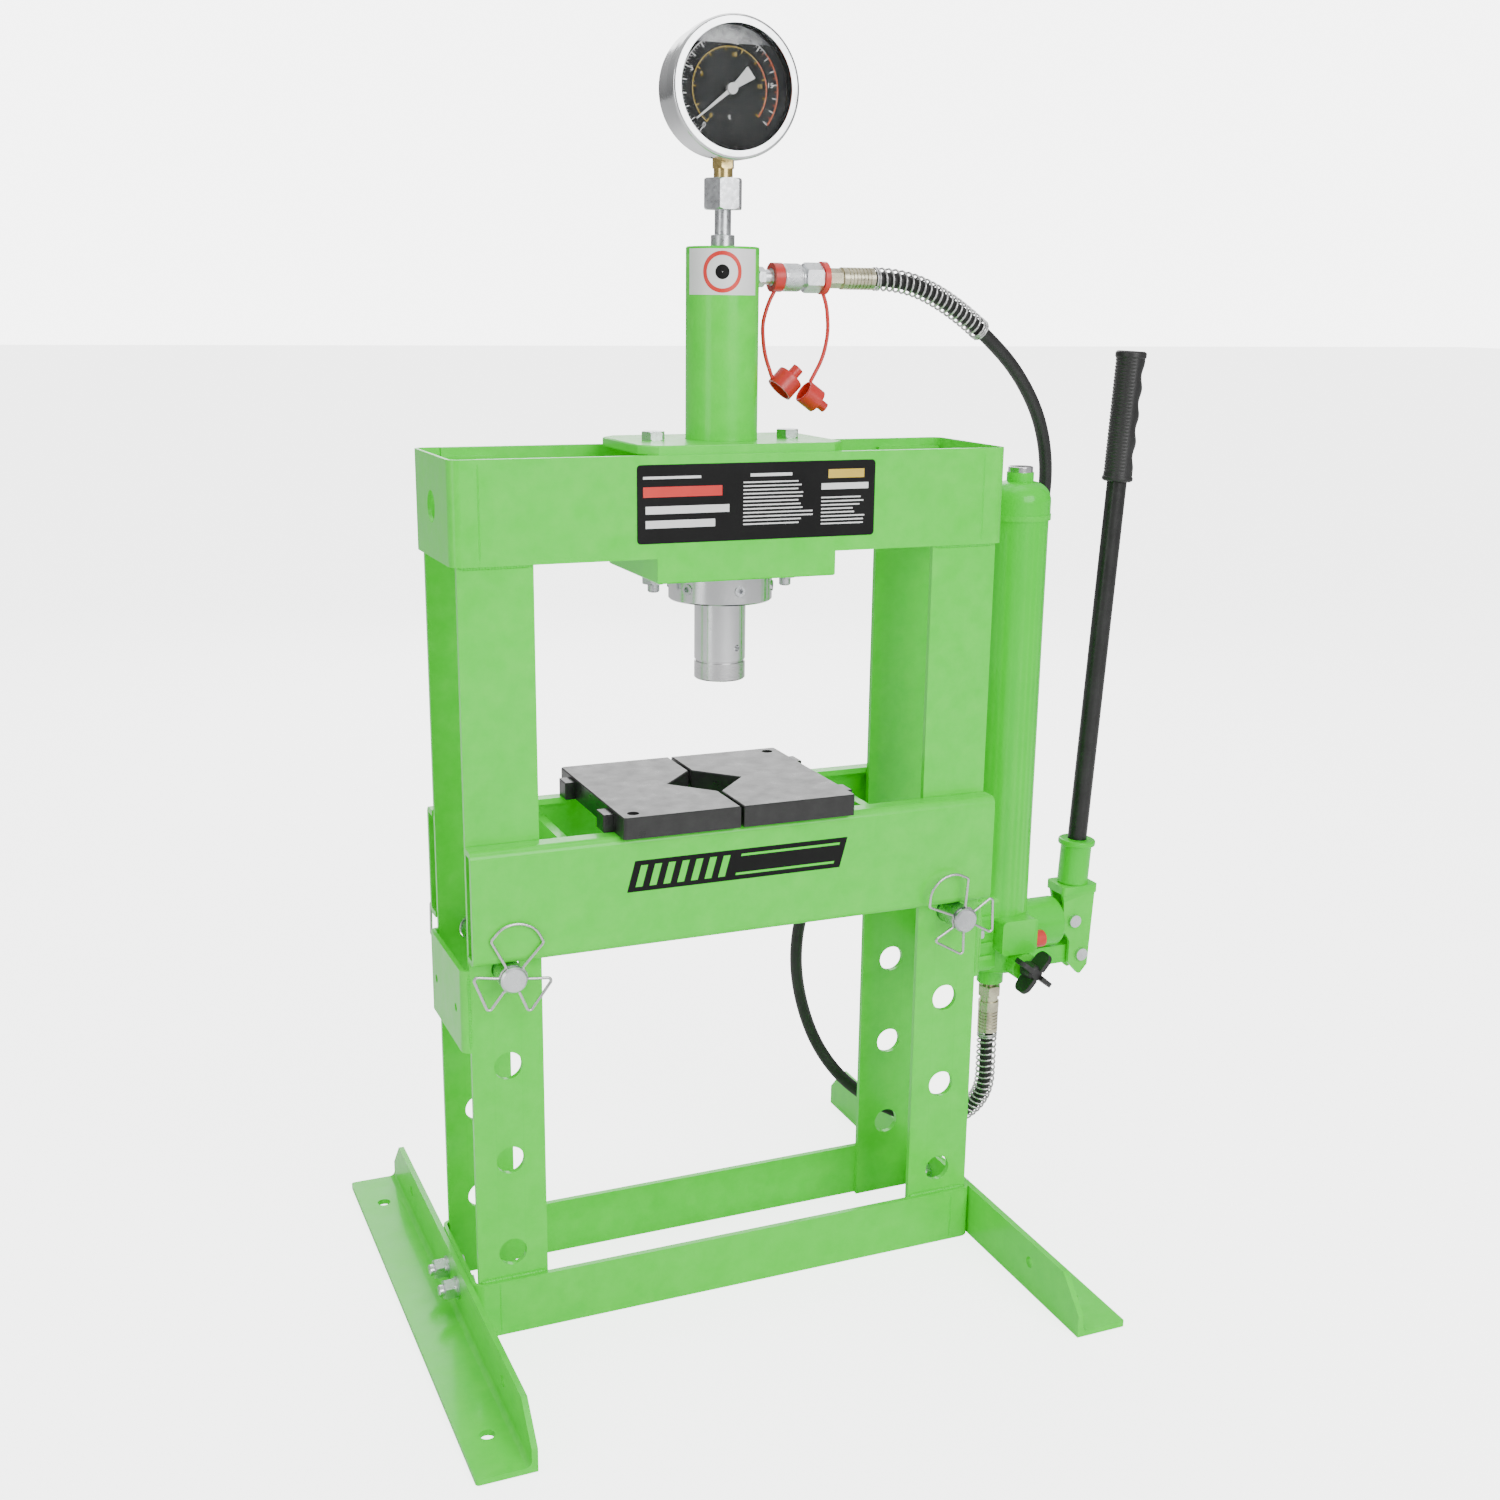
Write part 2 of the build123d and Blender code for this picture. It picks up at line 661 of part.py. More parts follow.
def pump_parts():
    up = (0, 0, 1)
    right = (1, 0, 0)
    front = (0, -1, 0)
    reservoir = rod((pump_x, 0, reservoir_bottom), up, reservoir_radius, reservoir_top - reservoir_bottom)
    dome_height = 30.0
    dome = rod((pump_x, 0, reservoir_top), up, reservoir_radius + 1.2, dome_height)
    dome = fillet(dome.edges().group_by(Axis.Z)[-1], 17)
    reservoir += rod((pump_x, 0, reservoir_top - 3), up, reservoir_radius + 1.8, 5)
    neck_bottom = reservoir_top + dome_height - 2
    neck = rod((pump_x, 0, neck_bottom), up, 12, neck_top - neck_bottom)
    reservoir += dome + neck
    inside = rod((pump_x, 0, reservoir_bottom), up, reservoir_radius - reservoir_wall, 392)
    reservoir -= fillet(inside.edges().group_by(Axis.Z)[-1], 15)
    reservoir -= rod((pump_x, 0, reservoir_top), up, 7.0, neck_top - reservoir_top)
    save("pump_reservoir", reservoir)

    plug = rod((pump_x, 0, neck_top), up, 11, 5)
    plug = fillet(plug.edges().group_by(Axis.Z)[-1], 1)
    plug += rod((pump_x, 0, neck_top - 12), up, 6.9, 12)
    plug -= extrude(Pos(pump_x, 0, neck_top + 1) * RegularPolygon(3.5, 6, major_radius=False), amount=4)
    save("filler_plug", plug)

    body = rod((pump_x, 0, 245), up, reservoir_radius + 1.5, reservoir_bottom - 245)
    body = fillet(body.edges().group_by(Axis.Z)[0], 4)
    barrel = rod((pump_x, 0, barrel_z), right, barrel_radius, barrel_end_x - pump_x)
    barrel = fillet(barrel.edges().group_by(Axis.X)[-1], 3)
    valve_block = block(valve_block_x, (valve_block_front, 0), valve_block_z)
    valve_block = fillet(valve_block.edges().filter_by(Axis.Y), 4)
    valve_boss = rod((valve_x, -15, valve_z), front, 13, 28)
    outlet_boss = rod((outlet_x, 0, outlet_z), up, 12.5, 20)
    fulcrum_arm = block((pump_x, fulcrum_x), (-6, 6), (fulcrum_z - 9, fulcrum_z + 9))
    fulcrum_arm += rod((fulcrum_x, 6, fulcrum_z), front, 9, 12)
    pad = block((brace_outer_x + flange_thick, pump_x - 14), (-24, 24), (248, 322))
    pad = fillet(pad.edges().filter_by(Axis.X), 6)
    for z in (262, 275, 288, 301):
        pad += block((brace_outer_x + flange_thick, pump_x - 20), (-27, 27), (z, z + 4))
    body += barrel + valve_block + valve_boss + outlet_boss + fulcrum_arm + pad
    flange = block((brace_outer_x, brace_outer_x + flange_thick), (-42, 42), (270, 316))
    body += fillet(flange.edges().filter_by(Axis.X), 6)
    for y in (-brace_hole_y, brace_hole_y):
        body -= rod((upright_outer_x, y, brace_hole_z), right, brace_hole_radius, 30)
    body -= rod((pump_x, 0, reservoir_bottom), up, reservoir_radius + 0.02, 40)
    body -= rod((pump_x - 4, 0, barrel_z), right, plunger_radius + 0.05, 80)
    body -= rod((pump_x, 0, barrel_z), up, 4.5, 40)
    body -= rod((outlet_x, 0, outlet_z), up, 4.5, barrel_z - outlet_z)
    body -= rod((fulcrum_x, 10, fulcrum_z), front, lever_pin_radius + 0.05, 20)
    body -= rod((valve_x, -33, valve_z), front, 5.05, 15)
    save("pump_body", body)

    balls = [Pos(pump_x, 0, reservoir_bottom - 6) * Sphere(4), Pos(outlet_x, 0, 262) * Sphere(4)]
    save("check_balls", balls)

    plunger = rod((306, 0, barrel_z), right, plunger_radius, plunger_pin_x - 306)
    eye = block((plunger_pin_x - 11, plunger_pin_x + 11), (-6, 6), (barrel_z - 12, barrel_z + 12))
    eye = fillet(eye.edges().filter_by(Axis.Y), 5)
    slot = extrude(
        Plane(origin=(plunger_pin_x, 8, barrel_z), x_dir=(0, 0, 1), z_dir=front)
        * SlotCenterToCenter(5.4, 2 * (lever_pin_radius + 0.45)),
        amount=16,
    )
    save("pump_plunger", plunger + eye - slot)

    bolts = []
    for y in (-brace_hole_y, brace_hole_y):
        head_start = brace_outer_x + flange_thick
        web_face = brace_outer_x - brace_sheet
        bolt = rod((web_face - 7, y, brace_hole_z), right, 3.45, head_start - web_face + 7)
        bolts.append(bolt + hexagon((head_start, y, brace_hole_z), right, 12, 4.5))
        nut = hexagon((web_face - 5.5, y, brace_hole_z), right, 12, 5.5)
        bolts.append(nut - rod((web_face - 6, y, brace_hole_z), right, 3.5, 7))
    save("pump_bolts", bolts)

    knob = rod((valve_x, -45, valve_z), front, 7.5, 17)
    knob = fillet(knob.edges().group_by(Axis.Y)[0], 3)
    lobe = block((5, 22), (-66, -46.5), (-2.2, 2.2))
    lobe = fillet(lobe.edges().filter_by(Axis.Z).group_by(Axis.X)[-1], 8)
    for quarter in range(4):
        knob += Pos(valve_x, 0, valve_z) * Rot(0, 40 + 90 * quarter, 0) * lobe
    knob += rod((valve_x, -34, valve_z), front, 5, 12)
    save("release_knob", knob)

    relief = rod((valve_block_x[1], *relief_centre), right, 8, 12)
    save("relief_cap", fillet(relief.edges().group_by(Axis.X)[-1], 2))


def lever_parts():
    up = (sin(radians(handle_lean)), 0, cos(radians(handle_lean)))
    foot = (handle_foot_x, 0, yoke_top + 2)

    def on_handle(z):
        """The point of the handle's axis at a height."""
        return (handle_foot_x + (z - yoke_top - 2) * tan(radians(handle_lean)), 0, z)

    outline = Polyline(
        (350, yoke_top),
        (387.5, yoke_top),
        (383.5, 236),
        (375, 226),
        (362, 240),
        (362, 262),
        (353.5, 276),
        (353.5, 302),
        close=True,
    )
    cheek_face = make_face(Plane.XZ * outline)
    cheek = extrude(cheek_face, amount=yoke_plate, dir=(0, -1, 0))
    cheek = fillet(cheek.edges().filter_by(Axis.Y), 3)
    outer_y = yoke_inner_y + yoke_plate
    yoke = block((350, 388), (-outer_y - 4, outer_y + 4), (yoke_top - 6, yoke_top + 2))
    yoke = fillet(yoke.edges().filter_by(Axis.Z), 4)
    for sign in (-1, 1):
        plane_y = -yoke_inner_y if sign < 0 else outer_y
        yoke += Pos(0, plane_y, 0) * cheek
    socket = rod(foot, up, socket_radius, socket_top - yoke_top - 2)
    lip = rod(on_handle(socket_top - 6), up, socket_lip_radius, 6)
    socket += fillet(lip.edges().filter_by(GeomType.CIRCLE), 2)
    yoke += socket
    yoke -= rod(on_handle(yoke_top + 4), up, handle_radius + 0.1, 60)
    for x, z in ((plunger_pin_x, barrel_z + 1), (fulcrum_x, fulcrum_z)):
        yoke -= rod((x, 30, z), (0, -1, 0), lever_pin_radius + 0.05, 60)
    save("lever_yoke", yoke)

    pins = []
    for x, z in ((plunger_pin_x, barrel_z + 1), (fulcrum_x, fulcrum_z)):
        pin = rod((x, -outer_y - 3.5, z), (0, 1, 0), lever_pin_radius, 2 * outer_y + 7)
        pin += rod((x, -outer_y - 3.5, z), (0, 1, 0), 6, 3.5)
        pins.append(chamfer(pin.edges().group_by(Axis.Y)[-1], 0.8))
        pins.append(ring((x, outer_y, z), (0, 1, 0), 7.5, lever_pin_radius + 0.02, 1.2))
    save("lever_pins", pins)

    start = on_handle(yoke_top + 5)
    handle = rod(start, up, handle_radius, (grip_top - 8 - start[2]) / up[2])
    save("handle_rod", chamfer(handle.edges().filter_by(GeomType.CIRCLE), 1))
    grip_start = on_handle(grip_bottom)
    grip = rod(grip_start, up, grip_radius, (grip_top - grip_bottom) / up[2])
    grip = fillet(grip.edges().filter_by(GeomType.CIRCLE), 2.5)
    grip -= rod(grip_start, up, handle_radius + 0.02, (grip_top - 7.9 - grip_bottom) / up[2])
    save("handle_grip", grip)


def hose_parts():
    right = (1, 0, 0)
    down = (0, 0, -1)
    tube_face = head_x + tube_radius
    port = (0, port_z)
    nipple = rod((tube_face - 4, *port), right, 5.9, 24)
    nipple += hexagon((tube_face, *port), right, 14, 6)
    nipple += rod((45, *port), right, ring_seat_radius, 9)
    sleeve = rod((54, *port), right, 11.2, 16.7)
    sleeve = chamfer(sleeve.edges().filter_by(GeomType.CIRCLE), 1)
    sleeve -= rod((54, *port), right, 5.9, 1)
    coupler = rod((70.7, *port), right, 8.5, 2.7)
    coupler += hexagon((73.4, *port), right, 21, 15.2)
    coupler += rod((88.6, *port), right, ring_seat_radius, 5.2)
    hose_hex = hexagon((93.8, *port), right, 14, 13.8)
    ferrule = rod((107.6, *port), right, 8.9, hose_top_exit - 107.6)
    for index in range(7):
        groove = (112 + 3.2 * index, *port)
        ferrule -= ring(groove, right, 10, 8.2, 0.9)
    save("port_nipple", nipple)
    save("coupler_sleeve", sleeve)
    save("hose_coupler", coupler)

    outlet = rod((outlet_x, 0, outlet_z), down, 6.5, 4)
    outlet += hexagon((outlet_x, 0, outlet_z - 4), down, 20, 10)
    outlet += rod((outlet_x, 0, outlet_z - 14), down, 8.5, 6)
    outlet += rod((outlet_x, 0, outlet_z - 20), down, 9.8, 6)
    end_start = outlet_z - 26
    end = rod((outlet_x, 0, end_start), down, ferrule_radius, end_start - hose_bottom_exit)
    for index in range(6):
        groove = (outlet_x, 0, end_start - 4 - 3.2 * index)
        end -= ring(groove, down, ferrule_radius + 1, ferrule_radius - 0.7, 0.9)
    save("hose_end_fittings", [hose_hex, ferrule, outlet, end])

    hose, length = round_bar(hose_route, hose_radius)
    section = pi * hose_radius ** 2
    print("hose radii", [round(radius) for radius in bend_radii(hose_route)])
    print("hose length", round(length), "volume / section", round(hose.volume / section))
    save("hose", hose)

    guards = []
    for route, runs in ((hose_route, guard_bottom_runs), (hose_route[::-1], guard_top_runs)):
        radii = bend_radii(route)[: runs - 1]
        last = (Vector(*route[runs - 1]) + Vector(*route[runs])) * 0.5
        points = route[:runs] + [tuple(last)]
        outer, _ = round_bar(points, guard_outer, radii)
        inner, _ = round_bar(points, guard_inner, radii)
        guards.append(outer - inner)
    save("spring_guards", guards)


def dust_cap(ring_span, ring_radius, strap, opening, nub):
    """A moulded cap on a strap, and the loose ring that holds the strap on the fitting."""
    start, end = ring_span
    cap = ring((start, 0, port_z), (1, 0, 0), ring_radius, ring_seat_radius + 0.4, end - start)
    cap += round_bar([(x, 0, z) for x, z in strap], 1.6)[0]
    top = Vector(opening[0][0], 0, opening[0][1])
    bottom = Vector(opening[1][0], 0, opening[1][1])
    across = (bottom - top).normalized()
    mouth = (top + bottom) * 0.5
    inward = Vector(nub[0], 0, nub[1]) - mouth
    inward = (inward - across * inward.dot(across)).normalized()
    radius = (bottom - top).length / 2
    cup = rod(mouth, inward, radius, 15)
    cup = fillet(cup.edges().filter_by(GeomType.CIRCLE).sort_by(SortBy.DISTANCE)[-1:], 1)
    cap += cup + rod(mouth, inward, radius * 0.42, 24)
    return cap - rod(mouth, inward, radius - 2, 12)


def cap_parts():
    left = dust_cap(
        (45.3, 53.5), 11.5,
        [(49.5, 860.5), (43.5, 850), (38, 833), (40, 810), (48, 789)],
        ((45.7, 788.6), (62.1, 772.4)), (69, 790),
    )
    save("dust_cap_left", left)
    right = dust_cap(
        (88.9, 93.4), 13.0,
        [(91.2, 859), (95.5, 847), (97.5, 827), (93, 806), (82, 787)],
        ((81.8, 787.6), (70.3, 771.5)), (100.5, 768),
    )
    save("dust_cap_right", right)


def main():
    os.makedirs("parts", exist_ok=True)
    frame_parts()
    foot_parts()
    bed_parts()
    plate_parts()
    pin_parts()
    head_parts()
    cylinder_parts()
    gauge_parts()
    pump_parts()
    lever_parts()
    hose_parts()
    cap_parts()
    print(len(solids_written), "sub-parts")


main()
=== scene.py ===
import math
import random

import bmesh
import bpy
from mathutils import Matrix, Vector


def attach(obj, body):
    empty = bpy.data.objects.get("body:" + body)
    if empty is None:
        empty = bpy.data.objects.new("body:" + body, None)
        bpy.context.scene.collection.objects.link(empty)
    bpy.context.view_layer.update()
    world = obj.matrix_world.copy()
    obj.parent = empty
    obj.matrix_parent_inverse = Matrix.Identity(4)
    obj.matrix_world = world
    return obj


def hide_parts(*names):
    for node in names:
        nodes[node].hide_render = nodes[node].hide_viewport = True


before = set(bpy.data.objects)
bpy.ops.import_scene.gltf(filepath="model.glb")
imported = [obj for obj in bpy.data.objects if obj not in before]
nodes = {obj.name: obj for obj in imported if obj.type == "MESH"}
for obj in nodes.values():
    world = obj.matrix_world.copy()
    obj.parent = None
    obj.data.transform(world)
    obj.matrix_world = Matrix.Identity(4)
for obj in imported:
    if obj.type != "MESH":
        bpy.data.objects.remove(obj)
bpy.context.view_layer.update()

MM = 0.001
rng = random.Random(7)


# ---------------------------------------------------------------- camera
CAMERA_AT = (-0.5445, -1.3569, 0.8525)
CAMERA_RIGHT = (0.9213, -0.3887, 0.0121)
CAMERA_UP = (0.0920, 0.2482, 0.9643)
CAMERA_BACK = (-0.3778, -0.8873, 0.2644)

camera_data = bpy.data.cameras.new("camera")
camera = bpy.data.objects.new("camera", camera_data)
bpy.context.scene.collection.objects.link(camera)
turn = Matrix((CAMERA_RIGHT, CAMERA_UP, CAMERA_BACK)).transposed().to_4x4()
camera.matrix_world = Matrix.Translation(CAMERA_AT) @ turn
camera_data.sensor_width = 36.0
camera_data.lens = 42.34
camera_data.shift_x = -0.00065
camera_data.shift_y = 0.0216
camera_data.clip_end = 50.0
bpy.context.scene.camera = camera


# ---------------------------------------------------------------- node materials
def material(name):
    """A new material: its node tree, its links and its shader."""
    made = bpy.data.materials.new(name)
    made.use_nodes = True
    tree = made.node_tree
    shader = tree.nodes["Principled BSDF"]
    return made, tree, shader


def noise(tree, scale, detail=4.0, roughness=0.6, stretch=(1, 1, 1)):
    """Noise over the object's own coordinates. Scale is in cycles per metre."""
    coords = tree.nodes.new("ShaderNodeTexCoord")
    place = tree.nodes.new("ShaderNodeMapping")
    place.inputs["Scale"].default_value = stretch
    texture = tree.nodes.new("ShaderNodeTexNoise")
    texture.inputs["Scale"].default_value = scale
    texture.inputs["Detail"].default_value = detail
    texture.inputs["Roughness"].default_value = roughness
    tree.links.new(coords.outputs["Object"], place.inputs["Vector"])
    tree.links.new(place.outputs["Vector"], texture.inputs["Vector"])
    return texture.outputs["Fac"]


def ramp(tree, value, low, high, low_colour, high_colour):
    """Two colours, mixed by a value that goes from low to high."""
    made = tree.nodes.new("ShaderNodeValToRGB")
    made.color_ramp.elements[0].position = low
    made.color_ramp.elements[1].position = high
    made.color_ramp.elements[0].color = (*low_colour, 1)
    made.color_ramp.elements[1].color = (*high_colour, 1)
    tree.links.new(value, made.inputs["Fac"])
    return made.outputs["Color"]


def span(tree, value, low, high):
    """A value from 0.3 to 0.7 turned into one from low to high."""
    made = tree.nodes.new("ShaderNodeMapRange")
    made.inputs["From Min"].default_value = 0.3
    made.inputs["From Max"].default_value = 0.7
    made.inputs["To Min"].default_value = low
    made.inputs["To Max"].default_value = high
    tree.links.new(value, made.inputs["Value"])
    return made.outputs["Result"]


def bump(tree, shader, layers):
    """Bump from several heights, each with its depth in metres."""
    previous = None
    for height, depth in layers:
        made = tree.nodes.new("ShaderNodeBump")
        made.inputs["Strength"].default_value = 1.0
        made.inputs["Distance"].default_value = depth
        tree.links.new(height, made.inputs["Height"])
        if previous:
            tree.links.new(previous, made.inputs["Normal"])
        previous = made.outputs["Normal"]
    tree.links.new(previous, shader.inputs["Normal"])


def finish_of(
    name, dark, light, rough, grain, depth, metallic=0.0, coat=0.0, stretch=(1, 1, 1), blotch=14.0
):
    """A finish with a slow colour change, and a fine grain that its roughness and bump follow."""
    made, tree, shader = material(name)
    slow = noise(tree, blotch)
    fine = noise(tree, grain, detail=6.0, stretch=stretch)
    tree.links.new(ramp(tree, slow, 0.35, 0.65, dark, light), shader.inputs["Base Color"])
    tree.links.new(span(tree, fine, *rough), shader.inputs["Roughness"])
    shader.inputs["Metallic"].default_value = metallic
    shader.inputs["Coat Weight"].default_value = coat
    shader.inputs["Coat Roughness"].default_value = 0.12
    bump(tree, shader, [(fine, depth)])
    return made


def paint_with_edge_highlight(name, dark, light, edge_highlight, rough, coat):
    """Sprayed paint: orange peel and soft runs, and a paler colour along sharp edges, which is a
    painted edge highlight.
    """
    made, tree, shader = material(name)
    slow = noise(tree, 9.0)
    peel = noise(tree, 420.0, detail=2.0)
    runs = noise(tree, 60.0, detail=3.0)
    base = ramp(tree, slow, 0.3, 0.7, dark, light)
    # Painted highlight: sharp edges, found by pointiness and broken up by the runs noise, take the
    # paler colour.
    geometry = tree.nodes.new("ShaderNodeNewGeometry")
    edge = tree.nodes.new("ShaderNodeMapRange")
    edge.inputs["From Min"].default_value = 0.53
    edge.inputs["From Max"].default_value = 0.60
    tree.links.new(geometry.outputs["Pointiness"], edge.inputs["Value"])
    edge_highlight_mask = tree.nodes.new("ShaderNodeMath")
    edge_highlight_mask.operation = "MULTIPLY"
    tree.links.new(edge.outputs["Result"], edge_highlight_mask.inputs[0])
    tree.links.new(runs, edge_highlight_mask.inputs[1])
    mix = tree.nodes.new("ShaderNodeMix")
    mix.data_type = "RGBA"
    mix.inputs["B"].default_value = (*edge_highlight, 1)
    tree.links.new(edge_highlight_mask.outputs["Value"], mix.inputs["Factor"])
    tree.links.new(base, mix.inputs["A"])
    tree.links.new(mix.outputs["Result"], shader.inputs["Base Color"])
    tree.links.new(span(tree, runs, *rough), shader.inputs["Roughness"])
    shader.inputs["Coat Weight"].default_value = coat
    shader.inputs["Coat Roughness"].default_value = 0.1
    bump(tree, shader, [(peel, 0.00006), (runs, 0.00012)])
    return made


def metal(name, dark, light, rough, grain, depth, **more):
    """A bare or plated metal."""
    return finish_of(name, dark, light, rough, grain, depth, metallic=1.0, **more)


def print_ink(name, dark, light, rough=(0.35, 0.5)):
    """Smooth, flat print or enamel."""
    return finish_of(name, dark, light, rough, grain=400.0, depth=0.00001)


def grey(value):
    """A colour without a hue."""
    return (value, value, value)


def set_input(finish, name, value):
    """One input of a finish's shader."""
    finish.node_tree.nodes["Principled BSDF"].inputs[name].default_value = value


PAINT_SPECULAR = 0.3
DARK_PRINT_SPECULAR = 0.15
RUBBER_GLOW_THROUGH = 0.12
GREEN_DARK = (0.014, 0.66, 0.004)
GREEN_LIGHT = (0.022, 0.76, 0.006)
# The paler green below is a painted highlight, laid along sharp edges.
GREEN_EDGE_HIGHLIGHT = (0.10, 0.86, 0.05)
green = paint_with_edge_highlight("green_paint", GREEN_DARK, GREEN_LIGHT, GREEN_EDGE_HIGHLIGHT, (0.28, 0.42), 0.25)
# grey(0.04) in the two black paints is their painted edge highlight.
black_cast = paint_with_edge_highlight("black_cast", grey(0.006), grey(0.014), grey(0.04), (0.26, 0.40), 0.1)
black_metal = paint_with_edge_highlight("black_metal", grey(0.004), grey(0.010), grey(0.04), (0.3, 0.45), 0.1)
zinc = metal("zinc", (0.50, 0.51, 0.53), (0.74, 0.76, 0.78), (0.22, 0.42), 300.0, 0.00004)
chrome = metal(
    "chrome", (0.62, 0.63, 0.64), (0.76, 0.77, 0.78), (0.12, 0.26), 90.0, 0.00002, stretch=(1, 1, 30)
)
steel_case = metal(
    "steel_case", (0.60, 0.61, 0.62), (0.78, 0.79, 0.80), (0.10, 0.22), 120.0, 0.00002,
    stretch=(1, 20, 1),
)
nose_steel = metal(
    "nose_steel", (0.52, 0.52, 0.53), (0.68, 0.68, 0.69), (0.18, 0.34), 110.0, 0.00003,
    stretch=(1, 1, 30),
)
spring_steel = metal("spring_steel", grey(0.48), (0.70, 0.70, 0.69), (0.2, 0.38), 260.0, 0.00003)
yellow_zinc = metal(
    "yellow_zinc", (0.44, 0.41, 0.30), (0.66, 0.63, 0.46), (0.2, 0.4), 220.0, 0.00003, blotch=70.0
)
brass = metal(
    "brass", (0.52, 0.38, 0.13), (0.72, 0.56, 0.24), (0.2, 0.36), 220.0, 0.00003, blotch=50.0
)
rubber = finish_of("rubber", grey(0.010), grey(0.024), (0.42, 0.6), 900.0, 0.00006)
black_plastic = finish_of("black_plastic", grey(0.008), grey(0.018), (0.34, 0.5), 700.0, 0.00008)
red_rubber = finish_of(
    "red_rubber", (0.52, 0.012, 0.012), (0.72, 0.03, 0.025), (0.3, 0.46), 260.0, 0.00006, coat=0.1
)
white_print = print_ink("white_print", grey(0.78), grey(0.86))
black_print = print_ink("black_print", grey(0.004), grey(0.008), rough=(0.42, 0.56))
dial_black = print_ink("dial_black", grey(0.003), grey(0.006), rough=(0.6, 0.75))
red_print = print_ink("red_print", (0.62, 0.02, 0.015), (0.74, 0.03, 0.02))
yellow_print = print_ink("yellow_print", (0.62, 0.42, 0.04), (0.74, 0.52, 0.06))
orange_print = print_ink("orange_print", (0.62, 0.10, 0.02), (0.72, 0.14, 0.03))
# Painted reflection: this blotchy grey stands for the sheen seen in the gauge's air space above the
# liquid; it is not a colour the gauge has.
air_space_reflection = finish_of(
    "air_space_reflection", (0.10, 0.10, 0.105), (0.42, 0.43, 0.44), (0.15, 0.35), 500.0, 0.00004, blotch=120.0
)
needle_paint = finish_of("needle_paint", grey(0.62), grey(0.74), (0.3, 0.45), 300.0, 0.00002)
set_input(red_rubber, "Subsurface Weight", RUBBER_GLOW_THROUGH)
for coated in (green, black_cast, black_metal):
    set_input(coated, "Specular IOR Level", PAINT_SPECULAR)
for dark_finish in (black_print, dial_black):
    set_input(dark_finish, "Specular IOR Level", DARK_PRINT_SPECULAR)


def glass_material():
    """Clear glass as a thin film that lets nearly everything through and shines a little."""
    made, tree, shader = material("clear_glass")
    smear = noise(tree, 40.0)
    tree.links.new(span(tree, smear, 0.03, 0.09), shader.inputs["Roughness"])
    tree.links.new(span(tree, smear, 0.03, 0.06), shader.inputs["Alpha"])
    tint = ramp(tree, smear, 0.3, 0.7, (0.10, 0.11, 0.11), (0.20, 0.22, 0.22))
    tree.links.new(tint, shader.inputs["Base Color"])
    return made


glass = glass_material()

NODE_MATERIALS = {
    green: """header_plates header_ends base_plates base_ends uprights_left uprights_right
        side_braces foot_left foot_right bed_rail_front bed_rail_rear bed_spacers
        head_top_plate head_bottom_plate cylinder_tube cylinder_cap
        pump_body pump_reservoir lever_yoke""",
    zinc: """foot_bolts head_bolts pump_bolts gauge_stem lever_pins hose_coupler
        bed_pin_left bed_pin_right port_nipple collar_screws""",
    chrome: "cylinder_collar ram filler_plug",
    steel_case: "gauge_case gauge_bezel",
    nose_steel: "ram_nose",
    spring_steel: """return_spring pin_clip_left_front pin_clip_left_rear pin_clip_right_front
        pin_clip_right_rear check_balls pump_plunger""",
    yellow_zinc: "hose_end_fittings",
    brass: "gauge_adapter gauge_movement ram_guide",
    black_cast: "arbor_plate_left arbor_plate_right",
    black_metal: "handle_rod",
    dial_black: "gauge_dial",
    needle_paint: "gauge_needle",
    glass: "gauge_lens",
    black_plastic: "release_knob handle_grip",
    rubber: "hose spring_guards",
    red_rubber: "dust_cap_left dust_cap_right relief_cap coupler_sleeve",
}
for finish, names in NODE_MATERIALS.items():
    for node_name in names.split():
        slots = nodes[node_name].data.materials
        slots.clear()
        slots.append(finish)


SMOOTH_ANGLE = math.radians(35)


def share_normals(mesh):
    """Shading normals that faces share wherever they meet at less than SMOOTH_ANGLE."""
    limit = math.cos(SMOOTH_ANGLE)
    places = [tuple(round(c, 6) for c in vertex.co) for vertex in mesh.vertices]
    faces_at = {}
    for polygon in mesh.polygons:
        polygon.use_smooth = True
        for vertex in polygon.vertices:
            faces_at.setdefault(places[vertex], []).append((polygon.normal.copy(), polygon.area))
    normals = [None] * len(mesh.loops)
    for polygon in mesh.polygons:
        own = polygon.normal
        for loop in polygon.loop_indices:
            total = own * 1e-12
            for normal, area in faces_at[places[mesh.loops[loop].vertex_index]]:
                if normal.dot(own) > limit:
                    total = total + normal * area
            normals[loop] = total.normalized()
    mesh.normals_split_custom_set(normals)


for node in nodes.values():
    share_normals(node.data)


# ---------------------------------------------------------------- mesh helpers
def piece(name, verts, faces, finish, body, smooth=True):
    """A mesh object from points in millimetres, riding on a body."""
    mesh = bpy.data.meshes.new(name)
    mesh.from_pydata([tuple(c * MM for c in v) for v in verts], [], faces)
    mesh.validate()
    mesh.materials.append(finish)
    made = bpy.data.objects.new(name, mesh)
    bpy.context.scene.collection.objects.link(made)
    work = bmesh.new()
    work.from_mesh(mesh)
    bmesh.ops.recalc_face_normals(work, faces=work.faces)
    for face in work.faces:
        face.smooth = smooth
    work.to_mesh(mesh)
    work.free()
    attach(made, body)
    return made


def frames_along(points):
    """Two unit normals at each point of a line, turned as little as possible."""
    tangents = []
    for index in range(len(points)):
        before = points[max(index - 1, 0)]
        after = points[min(index + 1, len(points) - 1)]
        tangents.append((after - before).normalized())
    normal = tangents[0].orthogonal().normalized()
    result = []
    for tangent in tangents:
        normal = (normal - tangent * normal.dot(tangent)).normalized()
        result.append((normal, tangent.cross(normal)))
    return result


